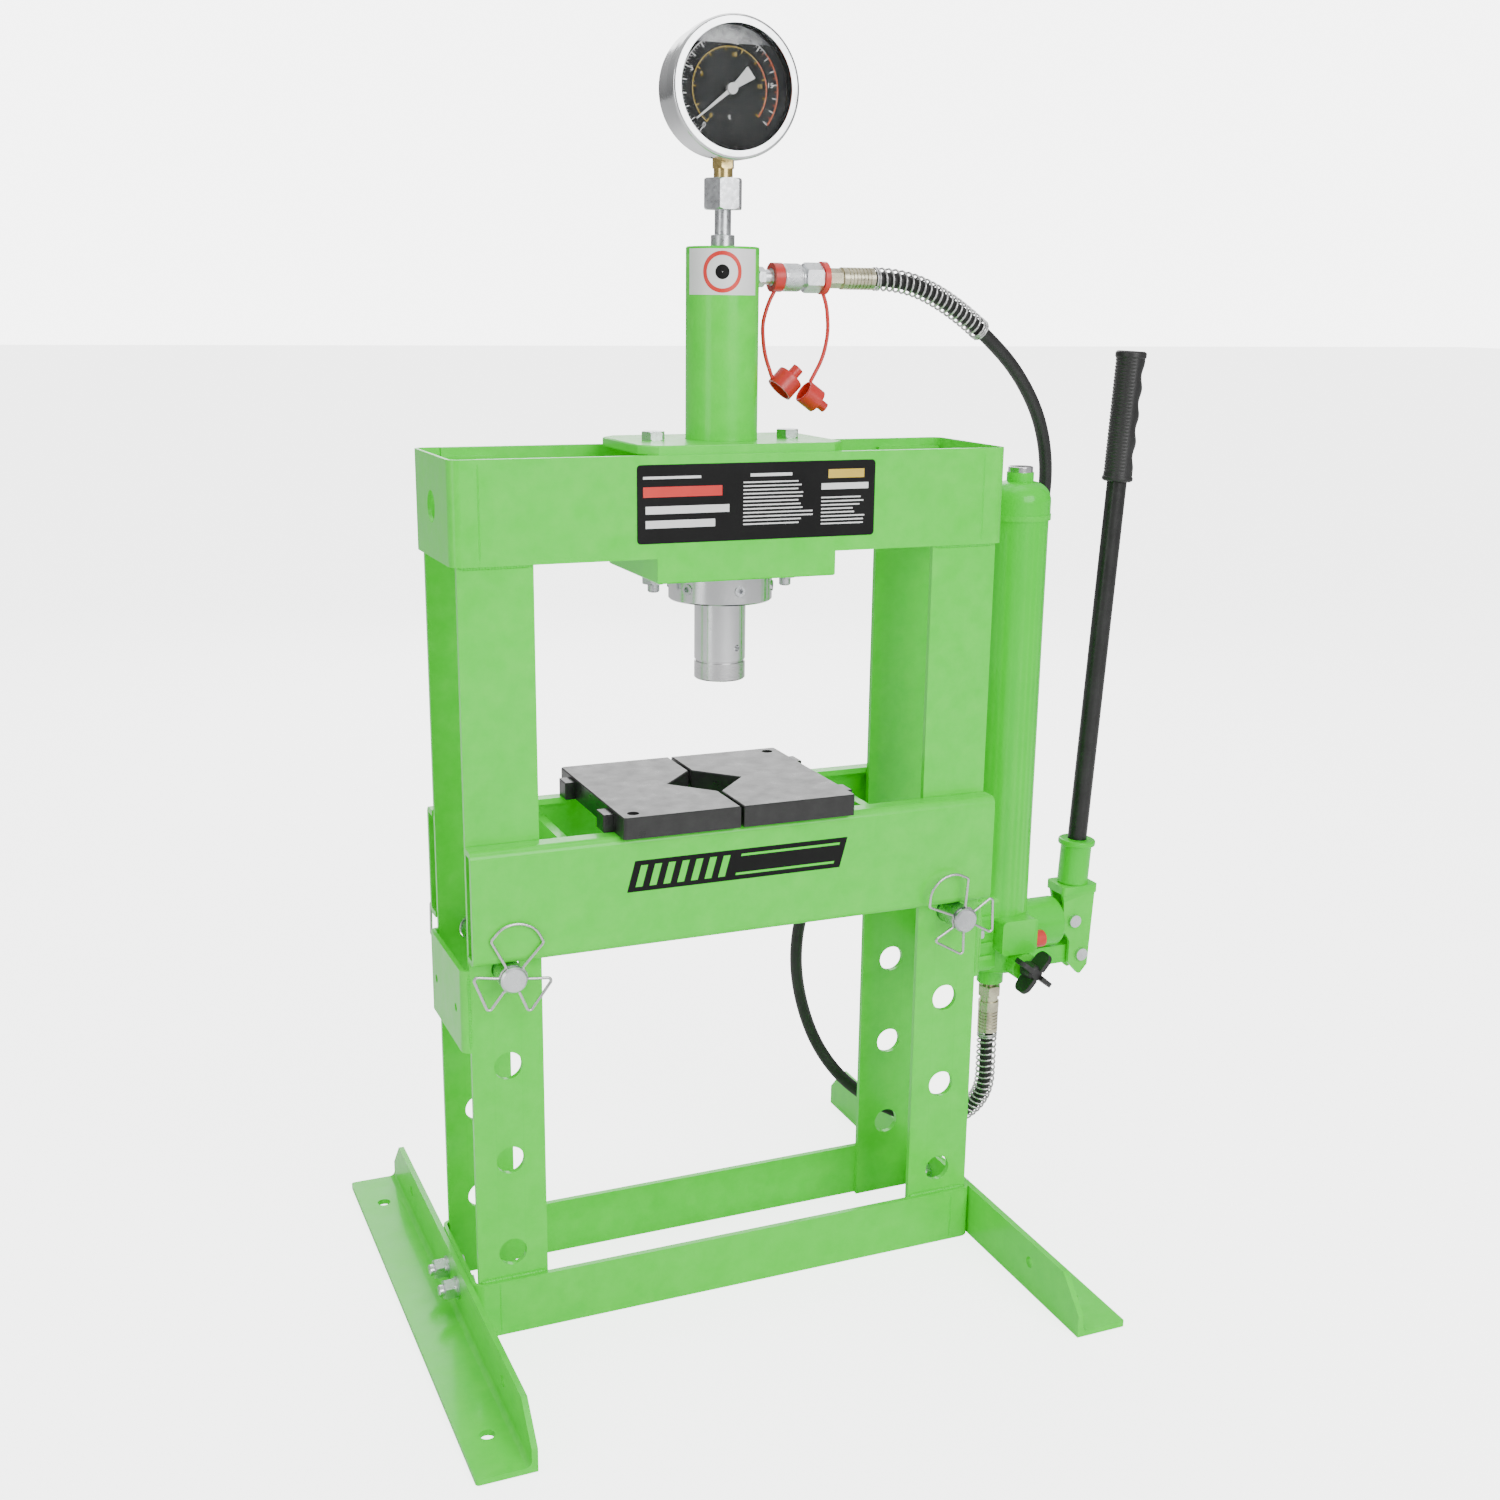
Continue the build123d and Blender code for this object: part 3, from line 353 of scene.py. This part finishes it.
def ring_faces(rings, sides):
    """Faces over rings of points one after another, with a cap at each end."""
    faces = []
    for ring in range(rings - 1):
        for side in range(sides):
            a = ring * sides + side
            b = ring * sides + (side + 1) % sides
            faces.append((a, b, b + sides, a + sides))
    faces.append(tuple(range(sides)))
    faces.append(tuple(range((rings - 1) * sides, rings * sides)))
    return faces


def tube_mesh(points, radii, sides):
    """A round rod along points, with a radius for each point."""
    verts = []
    for point, radius, (first, second) in zip(points, radii, frames_along(points)):
        for side in range(sides):
            angle = 2 * math.pi * side / sides
            verts.append(point + (first * math.cos(angle) + second * math.sin(angle)) * radius)
    return verts, ring_faces(len(points), sides)


def join_meshes(parts):
    """One list of points and one of faces from several."""
    verts = []
    faces = []
    for part_verts, part_faces in parts:
        start = len(verts)
        verts.extend(part_verts)
        faces.extend(tuple(index + start for index in face) for face in part_faces)
    return verts, faces


# ---------------------------------------------------------------- hose
PORT_Z = 869.4
OUTLET_X = 283.0
HOSE_DIAMETER = 12.0
hose_route = [
    (OUTLET_X, 0, 178),
    (OUTLET_X, 0, 150),
    (286, 5, 113),
    (279, 25, 82),
    (261, 51, 64),
    (231, 82, 62),
    (192, 112, 86),
    (168, 132, 120),
    (151, 139, 166),
    (141, 138, 220),
    (145, 132, 276),
    (168, 123, 334),
    (212, 112, 394),
    (264, 100, 462),
    (312, 88, 536),
    (346, 77, 610),
    (357, 64, 680),
    (341, 50, 742),
    (302, 34, 792),
    (254, 20, 828),
    (206, 7, 855),
    (164, 0, PORT_Z),
    (136, 0, PORT_Z),
]


def hose_curve(name, bevel):
    """The hose's line as one smooth spline, with or without its thickness."""
    data = bpy.data.curves.new(name, "CURVE")
    data.dimensions = "3D"
    spline = data.splines.new("NURBS")
    spline.points.add(len(hose_route) - 1)
    for point, place in zip(spline.points, hose_route):
        point.co = (*(c * MM for c in place), 1)
    spline.order_u = 3
    spline.use_endpoint_u = True
    spline.resolution_u = 16
    data.bevel_depth = bevel
    data.bevel_resolution = 8
    data.use_fill_caps = bevel > 0
    made = bpy.data.objects.new(name, data)
    bpy.context.scene.collection.objects.link(made)
    return made


hose = hose_curve("hose_rubber", HOSE_DIAMETER / 2 * MM)
hose.data.materials.append(rubber)
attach(hose, "frame")
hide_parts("hose")

bare = hose_curve("hose_line", 0.0)
bpy.context.view_layer.update()
evaluated = bare.evaluated_get(bpy.context.evaluated_depsgraph_get())
line_mesh = bpy.data.meshes.new_from_object(evaluated)
hose_line = [v.co / MM for v in line_mesh.vertices]
bpy.data.objects.remove(bare)
bpy.data.meshes.remove(line_mesh)

GUARD_RADIUS = 8.8
GUARD_WIRE = 0.95
GUARD_CLOSED_PITCH = 2.05
GUARD_OPEN_PITCH = 6.2
GUARD_STEPS = 14
GUARD_END = 1.2


def line_at(line, lengths, distance):
    """The point at a distance along a line."""
    for index in range(len(line) - 1):
        if lengths[index + 1] >= distance:
            part = (distance - lengths[index]) / (lengths[index + 1] - lengths[index])
            return line[index].lerp(line[index + 1], part)
    return line[-1].copy()


def guard_mesh(line, length, closed_at_start, closed_at_end):
    """A wire coil round the hose: closed turns at its ends and open turns between them."""
    lengths = [0.0]
    for a, b in zip(line, line[1:]):
        lengths.append(lengths[-1] + (b - a).length)
    distances = []
    angles = []
    distance = GUARD_END
    angle = 0.0
    while distance < length - GUARD_END:
        distances.append(distance)
        angles.append(angle)
        closed = distance < closed_at_start or distance > length - closed_at_end
        distance += (GUARD_CLOSED_PITCH if closed else GUARD_OPEN_PITCH) / GUARD_STEPS
        angle += 2 * math.pi / GUARD_STEPS
    centres = [line_at(line, lengths, d) for d in distances]
    helix = []
    for centre, turned, (first, second) in zip(centres, angles, frames_along(centres)):
        helix.append(centre + (first * math.cos(turned) + second * math.sin(turned)) * GUARD_RADIUS)
    return tube_mesh(helix, [GUARD_WIRE] * len(helix), 8)


bottom_guard = guard_mesh(hose_line, length=118.0, closed_at_start=6.0, closed_at_end=10.0)
top_guard = guard_mesh(hose_line[::-1], length=128.0, closed_at_start=4.0, closed_at_end=6.0)
guards = piece("spring_guard_coils", *join_meshes([bottom_guard, top_guard]), spring_steel, "frame")
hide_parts("spring_guards")


# ---------------------------------------------------------------- handle grip
HANDLE_LEAN = math.radians(3.14)
HANDLE_FOOT = Vector((369.0, 0, 318.0))
HANDLE_UP = Vector((math.sin(HANDLE_LEAN), 0, math.cos(HANDLE_LEAN)))
GRIP_BOTTOM = 697.0
GRIP_TOP = 812.0
GRIP_LENGTH = GRIP_TOP - GRIP_BOTTOM
GRIP_RADIUS = 13.1
FINGERS = 4
FINGER_DEPTH = 2.6
FINGERS_FROM, FINGERS_TO = 0.10, 0.92
RIB_DEPTH = 0.55
RIB_PITCH = 3.1
RIBS_FROM, RIBS_TO = 0.06, 0.94
END_LIP = 0.8
END_ROUNDING = 2.0


def grip_radius(height, angle):
    """Distance of the grip's surface from its axis. Angle 0 is the finger side."""
    part = height / GRIP_LENGTH
    radius = GRIP_RADIUS
    finger = max(0.0, math.cos(angle))
    if FINGERS_FROM < part < FINGERS_TO:
        along = (part - FINGERS_FROM) / (FINGERS_TO - FINGERS_FROM)
        radius -= FINGER_DEPTH * finger ** 1.5 * math.sin(math.pi * along * FINGERS) ** 2
    back = max(0.0, -math.cos(angle))
    if RIBS_FROM < part < RIBS_TO and back > 0.25:
        radius -= RIB_DEPTH * (0.5 + 0.5 * math.cos(2 * math.pi * height / RIB_PITCH))
    if part > 0.95 or part < 0.035:
        radius += END_LIP
    ends = min(height, GRIP_LENGTH - height)
    if ends < END_ROUNDING:
        radius -= (END_ROUNDING - ends) ** 2 * 0.5
    return radius


def grip_mesh():
    """The moulded grip: finger hollows on one side and ribs on the other."""
    side = Vector((HANDLE_UP.z, 0, -HANDLE_UP.x))
    depth = Vector((0, 1, 0))
    start = HANDLE_FOOT + HANDLE_UP * ((GRIP_BOTTOM - HANDLE_FOOT.z) / HANDLE_UP.z)
    rings = 230
    sides = 56
    verts = []
    for ring in range(rings + 1):
        height = GRIP_LENGTH * ring / rings
        for index in range(sides):
            angle = 2 * math.pi * index / sides
            out = side * math.cos(angle) + depth * math.sin(angle)
            verts.append(start + HANDLE_UP * height + out * grip_radius(height, angle))
    return verts, ring_faces(rings + 1, sides)


grip = piece("grip_moulding", *grip_mesh(), black_plastic, "handle")
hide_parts("handle_grip")


# ---------------------------------------------------------------- knurled sleeve
SLEEVE_START, SLEEVE_END = 54.0, 70.7
SLEEVE_RADIUS = 10.7
SLEEVE_LAND = 2.2
SLEEVE_CHAMFER = 0.8
KNURL_COUNT = 18
KNURL_TWIST = 1.7
KNURL_ROOT = 10.5
KNURL_HEIGHT = 0.65


def sleeve_mesh():
    """A sleeve about the hose fitting's axis, with cross knurling between two plain lands."""
    rings = 68
    sides = 144
    verts = []
    for ring in range(rings + 1):
        x = SLEEVE_START + (SLEEVE_END - SLEEVE_START) * ring / rings
        edge = min(x - SLEEVE_START, SLEEVE_END - x)
        for index in range(sides):
            angle = 2 * math.pi * index / sides
            radius = SLEEVE_RADIUS
            if edge > SLEEVE_LAND:
                one = abs(math.sin(angle * KNURL_COUNT + x * KNURL_TWIST))
                two = abs(math.sin(angle * KNURL_COUNT - x * KNURL_TWIST))
                radius = KNURL_ROOT + KNURL_HEIGHT * min(one, two)
            elif edge < SLEEVE_CHAMFER:
                radius -= (SLEEVE_CHAMFER - edge) * 0.8
            verts.append((x, radius * math.cos(angle), PORT_Z + radius * math.sin(angle)))
    return verts, ring_faces(rings + 1, sides)


sleeve = piece("knurled_sleeve", *sleeve_mesh(), zinc, "frame")
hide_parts("coupler_sleeve")


# ---------------------------------------------------------------- weld beads
BEAD_STEP = 0.55
BEAD_RIPPLE = 2.4
BEAD_WANDER = 0.12
BEAD_SIDES = 10


def bead(start, end, radius):
    """A weld bead from one point to another, with overlapping ripples and a wandering line."""
    start = Vector(start)
    end = Vector(end)
    count = int((end - start).length / BEAD_STEP)
    points = []
    radii = []
    for index in range(count + 1):
        part = index / count
        wander = Vector([rng.uniform(-BEAD_WANDER, BEAD_WANDER) for _ in range(3)])
        points.append(start.lerp(end, part) + wander)
        ripple = abs(math.sin(index * BEAD_STEP / BEAD_RIPPLE * math.pi))
        taper = min(1.0, 0.55 + 6.0 * min(part, 1 - part))
        radii.append(radius * taper * (0.84 + 0.16 * ripple))
    return tube_mesh(points, radii, BEAD_SIDES)


def mirrored_beads(corner):
    """One corner's beads and their mirror images on both sides and both faces."""
    made = []
    for side in (-1, 1):
        for face in (-1, 1):
            for (x0, y0, z0), (x1, y1, z1), radius in corner:
                start = (side * x0, face * y0, z0)
                end = (side * x1, face * y1, z1)
                made.append(bead(start, end, radius))
    return made


FRAME_CORNER = (
    ((175, 55.6, 654.4), (231, 55.6, 654.4), 2.1),
    ((175, 55.6, 50.6), (231, 55.6, 50.6), 2.1),
    ((172.6, 54.6, 657), (172.6, 54.6, 726), 1.9),
    ((216, 59.5, 657), (216, 59.5, 733), 0.95),
    ((216, 59.5, 2), (216, 59.5, 49), 0.95),
    ((233.5, 54.2, 262), (233.5, 54.2, 329), 1.6),
)
BED_CORNER = (
    ((135.6, 68.8, 352), (135.6, 68.8, 418), 1.8),
    ((144.4, 68.8, 352), (144.4, 68.8, 418), 1.8),
)
beads = mirrored_beads(FRAME_CORNER)
welds = piece("frame_welds", *join_meshes(beads), green, "frame")

bed_beads = mirrored_beads(BED_CORNER)
bed_welds = piece("bed_welds", *join_meshes(bed_beads), green, "bed")


# ---------------------------------------------------------------- flat print
def slab(outline, y_front, thick):
    """A thin plate in an XZ plane, from an outline, facing the operator."""
    count = len(outline)
    verts = [(x, y_front, z) for x, z in outline] + [(x, y_front + thick, z) for x, z in outline]
    faces = [tuple(range(count)), tuple(range(2 * count - 1, count - 1, -1))]
    for index in range(count):
        after = (index + 1) % count
        faces.append((index, after, after + count, index + count))
    return verts, faces


def round_box(x0, z0, x1, z1, radius, steps=5):
    """An outline with rounded corners."""
    left, right = x0 + radius, x1 - radius
    low, high = z0 + radius, z1 - radius
    corners = ((right, high), (left, high), (left, low), (right, low))
    outline = []
    for quarter, (x, z) in enumerate(corners):
        for step in range(steps + 1):
            angle = math.pi / 2 * (quarter + step / steps)
            outline.append((x + radius * math.cos(angle), z + radius * math.sin(angle)))
    return outline


LABEL_BACK = -60.0
LABEL_THICK = 0.3
LABEL_PRINT_FRONT = LABEL_BACK - 0.42
PRINT_THICK = 0.1
label_sheet = slab(round_box(-91, 667, 114, 728, 3), LABEL_BACK - LABEL_THICK, LABEL_THICK)
label = piece("header_label", *label_sheet, black_print, "frame", smooth=False)


def bars(rows):
    """Bars that stand for lines of print, each from its left, right, bottom and height."""
    made = []
    for x0, x1, z, height in rows:
        outline = ((x0, z), (x1, z), (x1, z + height), (x0, z + height))
        made.append(slab(outline, LABEL_PRINT_FRONT, PRINT_THICK))
    return join_meshes(made)


SMALL_PRINT_COLUMNS = ((-2, 60, 712, 676), (66, 108, 698, 676))
SMALL_PRINT_PITCH = 3.0
SMALL_PRINT_HEIGHT = 1.1
white_rows = [(-86, -38, 717, 2.0), (-84, -14, 690, 6.0), (-84, -26, 679, 6.0)]
for left, right, top, bottom in SMALL_PRINT_COLUMNS:
    z = top
    while z > bottom:
        white_rows.append((left, right - rng.uniform(1, 16), z, SMALL_PRINT_HEIGHT))
        z -= SMALL_PRINT_PITCH
white_rows += [(66, 108, 705, 5.0), (4, 40, 717, 2.4)]
red_rows = [(-86, -20, 703, 8.0)]
yellow_rows = [(72, 104, 714, 7.0)]
for name, rows, finish, slot in (
    ("header_label_white", white_rows, white_print, "needle"),
    ("header_label_red", red_rows, red_print, "red_rubber"),
    ("header_label_yellow", yellow_rows, yellow_print, "brass"),
):
    piece(name, *bars(rows), finish, "frame", smooth=False)


def slanted(x0, x1, z0, z1, slant=7.0):
    """A parallelogram outline that leans to the right."""
    return ((x0 - slant, z0), (x1 - slant, z0), (x1, z1), (x0, z1))


RAIL_FRONT = -74.4
BADGE_THICK = 0.25
STRIPE_FRONT = RAIL_FRONT - 0.35
STRIPE_PITCH = 12
stripe_outlines = []
for index in range(7):
    shift = STRIPE_PITCH * index
    stripe_outlines.append(slanted(-94 + shift, -88 + shift, 392, 410, 5.0))
stripe_outlines.append(slanted(-6, 84, 408, 410, 0.6))
stripe_outlines.append(slanted(-11, 79, 392, 394, 0.6))
badge_sheet = slab(slanted(-99, 91, 388, 414), RAIL_FRONT - BADGE_THICK, BADGE_THICK)
badge = piece("bed_badge", *badge_sheet, black_print, "bed", smooth=False)
stripes = join_meshes([slab(outline, STRIPE_FRONT, PRINT_THICK) for outline in stripe_outlines])
badge_print = piece("bed_badge_stripes", *stripes, green, "bed", smooth=False)


# ---------------------------------------------------------------- band label on the cylinder
HEAD_X = 3.0
BAND_MIDDLE = math.radians(-22)
BAND_HALF = 62
BAND_STEPS = 40
BAND_RADIUS = 29.5
BAND_PRINT_RADIUS = 29.62
BAND_PRINT_Z = 872.5
RING_STEPS = 64


def on_cylinder(angle, z, radius):
    """A point on the cylinder. Angle 0 faces the operator, and angles grow to the right."""
    return (HEAD_X + radius * math.sin(angle), -radius * math.cos(angle), z)


def wrapped(outline_rings, radius):
    """Faces between rings of points that are wrapped on the cylinder."""
    verts = []
    faces = []
    count = len(outline_rings[0])
    for ring in outline_rings:
        verts.extend(on_cylinder(angle, z, radius) for angle, z in ring)
    for ring in range(len(outline_rings) - 1):
        for index in range(count - 1):
            a = ring * count + index
            faces.append((a, a + 1, a + 1 + count, a + count))
    return verts, faces


def band_ring(radius):
    """A ring of points round the middle of the band's print."""
    points = []
    for step in range(RING_STEPS + 1):
        angle = 2 * math.pi * step / RING_STEPS
        across = BAND_MIDDLE + radius / BAND_RADIUS * math.cos(angle)
        points.append((across, BAND_PRINT_Z + radius * math.sin(angle)))
    return points


band_angles = []
for step in range(BAND_STEPS + 1):
    band_angles.append(BAND_MIDDLE + math.radians(-BAND_HALF + 2 * BAND_HALF * step / BAND_STEPS))
band_rows = [[(angle, z) for angle in band_angles] for z in (855, 868, 881, 890)]
band_ring_rows = [band_ring(12.6), band_ring(15.8)]
band_dot_rows = [band_ring(0.3), band_ring(5.6)]
for name, rows, radius, finish, slot in (
    ("cylinder_band", band_rows, BAND_RADIUS, white_print, "needle"),
    ("cylinder_band_ring", band_ring_rows, BAND_PRINT_RADIUS, red_print, "red_rubber"),
    ("cylinder_band_dot", band_dot_rows, BAND_PRINT_RADIUS, black_print, "black_metal"),
):
    piece(name, *wrapped(rows, radius), finish, "frame")


# ---------------------------------------------------------------- gauge face
GAUGE_Z = 1008.0
DIAL_FRONT = -12.0
DIAL_PRINT_Y = DIAL_FRONT - 0.15
NUMBER_Y = DIAL_FRONT - 0.2
ZERO_ANGLE = 232.0
SWEEP = 270.0
END_ANGLE = ZERO_ANGLE - SWEEP
RED_ANGLE = ZERO_ANGLE - 190


def dial_point(radius, angle):
    """A point on the dial, by its distance from the middle and its angle in degrees."""
    turned = math.radians(angle)
    return (HEAD_X + radius * math.cos(turned), GAUGE_Z + radius * math.sin(turned))


def arc(radius, width, start, end):
    """A printed arc, clockwise from start to end, in degrees."""
    steps = max(4, int(abs(end - start) / 3))
    angles = [start + (end - start) * i / steps for i in range(steps + 1)]
    outline = [dial_point(radius, a) for a in angles]
    outline += [dial_point(radius - width, a) for a in reversed(angles)]
    verts = [(x, DIAL_PRINT_Y, z) for x, z in outline]
    faces = []
    last = 2 * steps + 1
    for index in range(steps):
        faces.append((index, index + 1, last - index - 1, last - index))
    return verts, faces


def tick(radius, length, width, angle):
    """A printed radial line."""
    outward = math.radians(angle)
    side = (-math.sin(outward) * width / 2, math.cos(outward) * width / 2)
    points = []
    inner = radius - length
    for distance, across in ((radius, 1), (radius, -1), (inner, -1), (inner, 1)):
        x, z = dial_point(distance, angle)
        points.append((x + side[0] * across, DIAL_PRINT_Y, z + side[1] * across))
    return points, [(0, 1, 2, 3)]


DIVISIONS = 72
RED_DIVISION = 50
INNER_DIVISIONS = 40
MARKS_PER_NUMBER = 4
white_marks = [arc(40.6, 0.5, ZERO_ANGLE, RED_ANGLE)]
for index in range(DIVISIONS + 1):
    angle = ZERO_ANGLE - SWEEP * index / DIVISIONS
    if index % MARKS_PER_NUMBER == 0:
        white_marks.append(tick(40.4, 4.4, 0.75, angle))
    elif index <= RED_DIVISION:
        white_marks.append(tick(40.4, 2.2, 0.35, angle))
yellow_marks = [arc(31.0, 0.4, ZERO_ANGLE, RED_ANGLE)]
for index in range(INNER_DIVISIONS + 1):
    length, width = (3.2, 0.6) if index % MARKS_PER_NUMBER == 0 else (1.6, 0.3)
    angle = ZERO_ANGLE - SWEEP * index / INNER_DIVISIONS
    yellow_marks.append(tick(31.0, length, width, angle))
red_marks = [arc(40.8, 1.0, RED_ANGLE, END_ANGLE), arc(31.2, 0.8, RED_ANGLE, END_ANGLE)]
for index in range(RED_DIVISION, DIVISIONS + 1, 2):
    red_marks.append(tick(40.4, 3.0, 0.45, ZERO_ANGLE - SWEEP * index / DIVISIONS))
for name, marks, finish, slot in (
    ("dial_white", white_marks, white_print, "needle"),
    ("dial_yellow", yellow_marks, yellow_print, "brass"),
    ("dial_red", red_marks, orange_print, "red_rubber"),
):
    piece(name, *join_meshes(marks), finish, "frame", smooth=False)


def number(text, radius, angle, size, finish, name):
    """A number printed on the dial."""
    data = bpy.data.curves.new(name, "FONT")
    data.body = text
    data.size = size * MM
    data.align_x = "CENTER"
    data.align_y = "CENTER"
    data.materials.append(finish)
    made = bpy.data.objects.new(name, data)
    bpy.context.scene.collection.objects.link(made)
    x, z = dial_point(radius, angle)
    made.rotation_euler = (math.pi / 2, 0, 0)
    made.location = (x * MM, NUMBER_Y * MM, z * MM)
    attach(made, "frame")


FULL_SCALE = 18
NUMBER_STEP = 5
for index, text in enumerate(("0", "5", "10", "15")):
    angle = ZERO_ANGLE - SWEEP * NUMBER_STEP * index / FULL_SCALE
    number(text, 34.2, angle, 5.4, white_print, "dial_number_" + text)
    number(text, 25.2, angle, 4.4, yellow_print, "dial_inner_number_" + text)
number("t", 20.0, 270, 6.0, white_print, "dial_unit")

# A grey sheet in front of the dial's top marks the real air space above the liquid; its grey is a
# painted reflection.
LIQUID_HEIGHT = 33.0
FILM_RADIUS = 46.5
FILM_STEPS = 24
film_start = math.degrees(math.asin(LIQUID_HEIGHT / FILM_RADIUS))
film_points = []
for step in range(FILM_STEPS + 1):
    x, z = dial_point(FILM_RADIUS, film_start + (180 - 2 * film_start) * step / FILM_STEPS)
    film_points.append((x, DIAL_FRONT - 0.3, z))
film_face = tuple(range(len(film_points)))
film = piece("gauge_air_space_reflection", film_points, [film_face], air_space_reflection, "frame", smooth=False)


# ---------------------------------------------------------------- floor and light
FLOOR_GLOW = 3.6
BACKDROP = 6.0
FLOOR_HALF = 30
FLOOR_Z = -0.0006
floor_material, floor_tree, floor_shader = material("floor")
floor_tone = noise(floor_tree, 3.0)
floor_colour = ramp(floor_tree, floor_tone, 0.3, 0.7, grey(0.86), grey(0.90))
floor_tree.links.new(floor_colour, floor_shader.inputs["Base Color"])
floor_shader.inputs["Roughness"].default_value = 0.9
floor_shader.inputs["Emission Color"].default_value = (1, 1, 1, 1)
floor_rays = floor_tree.nodes.new("ShaderNodeLightPath")
floor_glow = floor_tree.nodes.new("ShaderNodeMath")
floor_glow.operation = "MULTIPLY"
floor_glow.inputs[1].default_value = FLOOR_GLOW
floor_tree.links.new(floor_rays.outputs["Is Camera Ray"], floor_glow.inputs[0])
floor_tree.links.new(floor_glow.outputs["Value"], floor_shader.inputs["Emission Strength"])
floor_mesh = bpy.data.meshes.new("floor")
floor_corners = []
for x, y in ((-1, -1), (1, -1), (1, 1), (-1, 1)):
    floor_corners.append((x * FLOOR_HALF, y * FLOOR_HALF, FLOOR_Z))
floor_mesh.from_pydata(floor_corners, [], [(0, 1, 2, 3)])
floor_mesh.materials.append(floor_material)
floor = bpy.data.objects.new("floor", floor_mesh)
bpy.context.scene.collection.objects.link(floor)

world = bpy.data.worlds.new("studio")
bpy.context.scene.world = world
world.use_nodes = True
sky = world.node_tree
sky_light = sky.nodes["Background"]
sky_light.inputs["Color"].default_value = (1, 1, 1, 1)
sky_coords = sky.nodes.new("ShaderNodeTexCoord")
sky_axes = sky.nodes.new("ShaderNodeSeparateXYZ")
sky_height = sky.nodes.new("ShaderNodeMapRange")
sky_rays = sky.nodes.new("ShaderNodeLightPath")
sky_mix = sky.nodes.new("ShaderNodeMix")
sky_height.inputs["From Min"].default_value = -0.1
sky_height.inputs["From Max"].default_value = 0.9
sky_height.inputs["To Min"].default_value = 0.15
sky_height.inputs["To Max"].default_value = 0.95
sky_mix.inputs["B"].default_value = BACKDROP
sky.links.new(sky_coords.outputs["Generated"], sky_axes.inputs["Vector"])
sky.links.new(sky_axes.outputs["Z"], sky_height.inputs["Value"])
sky.links.new(sky_rays.outputs["Is Camera Ray"], sky_mix.inputs["Factor"])
sky.links.new(sky_height.outputs["Result"], sky_mix.inputs["A"])
sky.links.new(sky_mix.outputs["Result"], sky_light.inputs["Strength"])


def area_light(name, place, target, size, power):
    """A rectangular lamp that points at a target. Places are in metres and power in watts."""
    data = bpy.data.lights.new(name, "AREA")
    data.shape = "RECTANGLE"
    data.size, data.size_y = size
    data.energy = power
    made = bpy.data.objects.new(name, data)
    bpy.context.scene.collection.objects.link(made)
    made.location = place
    made.rotation_euler = (Vector(target) - Vector(place)).to_track_quat("-Z", "Y").to_euler()


MIDDLE = (0, 0, 0.5)
area_light("key", (0.6, -2.8, 1.7), target=MIDDLE, size=(1.8, 1.8), power=72.0)
area_light("fill", (-2.6, -1.2, 1.1), target=MIDDLE, size=(0.9, 1.8), power=16.0)
area_light("top", (0.0, 0.3, 3.0), target=(0, 0, 0.4), size=(2.0, 2.0), power=26.0)
area_light("rear", (0.8, 2.6, 1.8), target=MIDDLE, size=(1.8, 1.8), power=40.0)
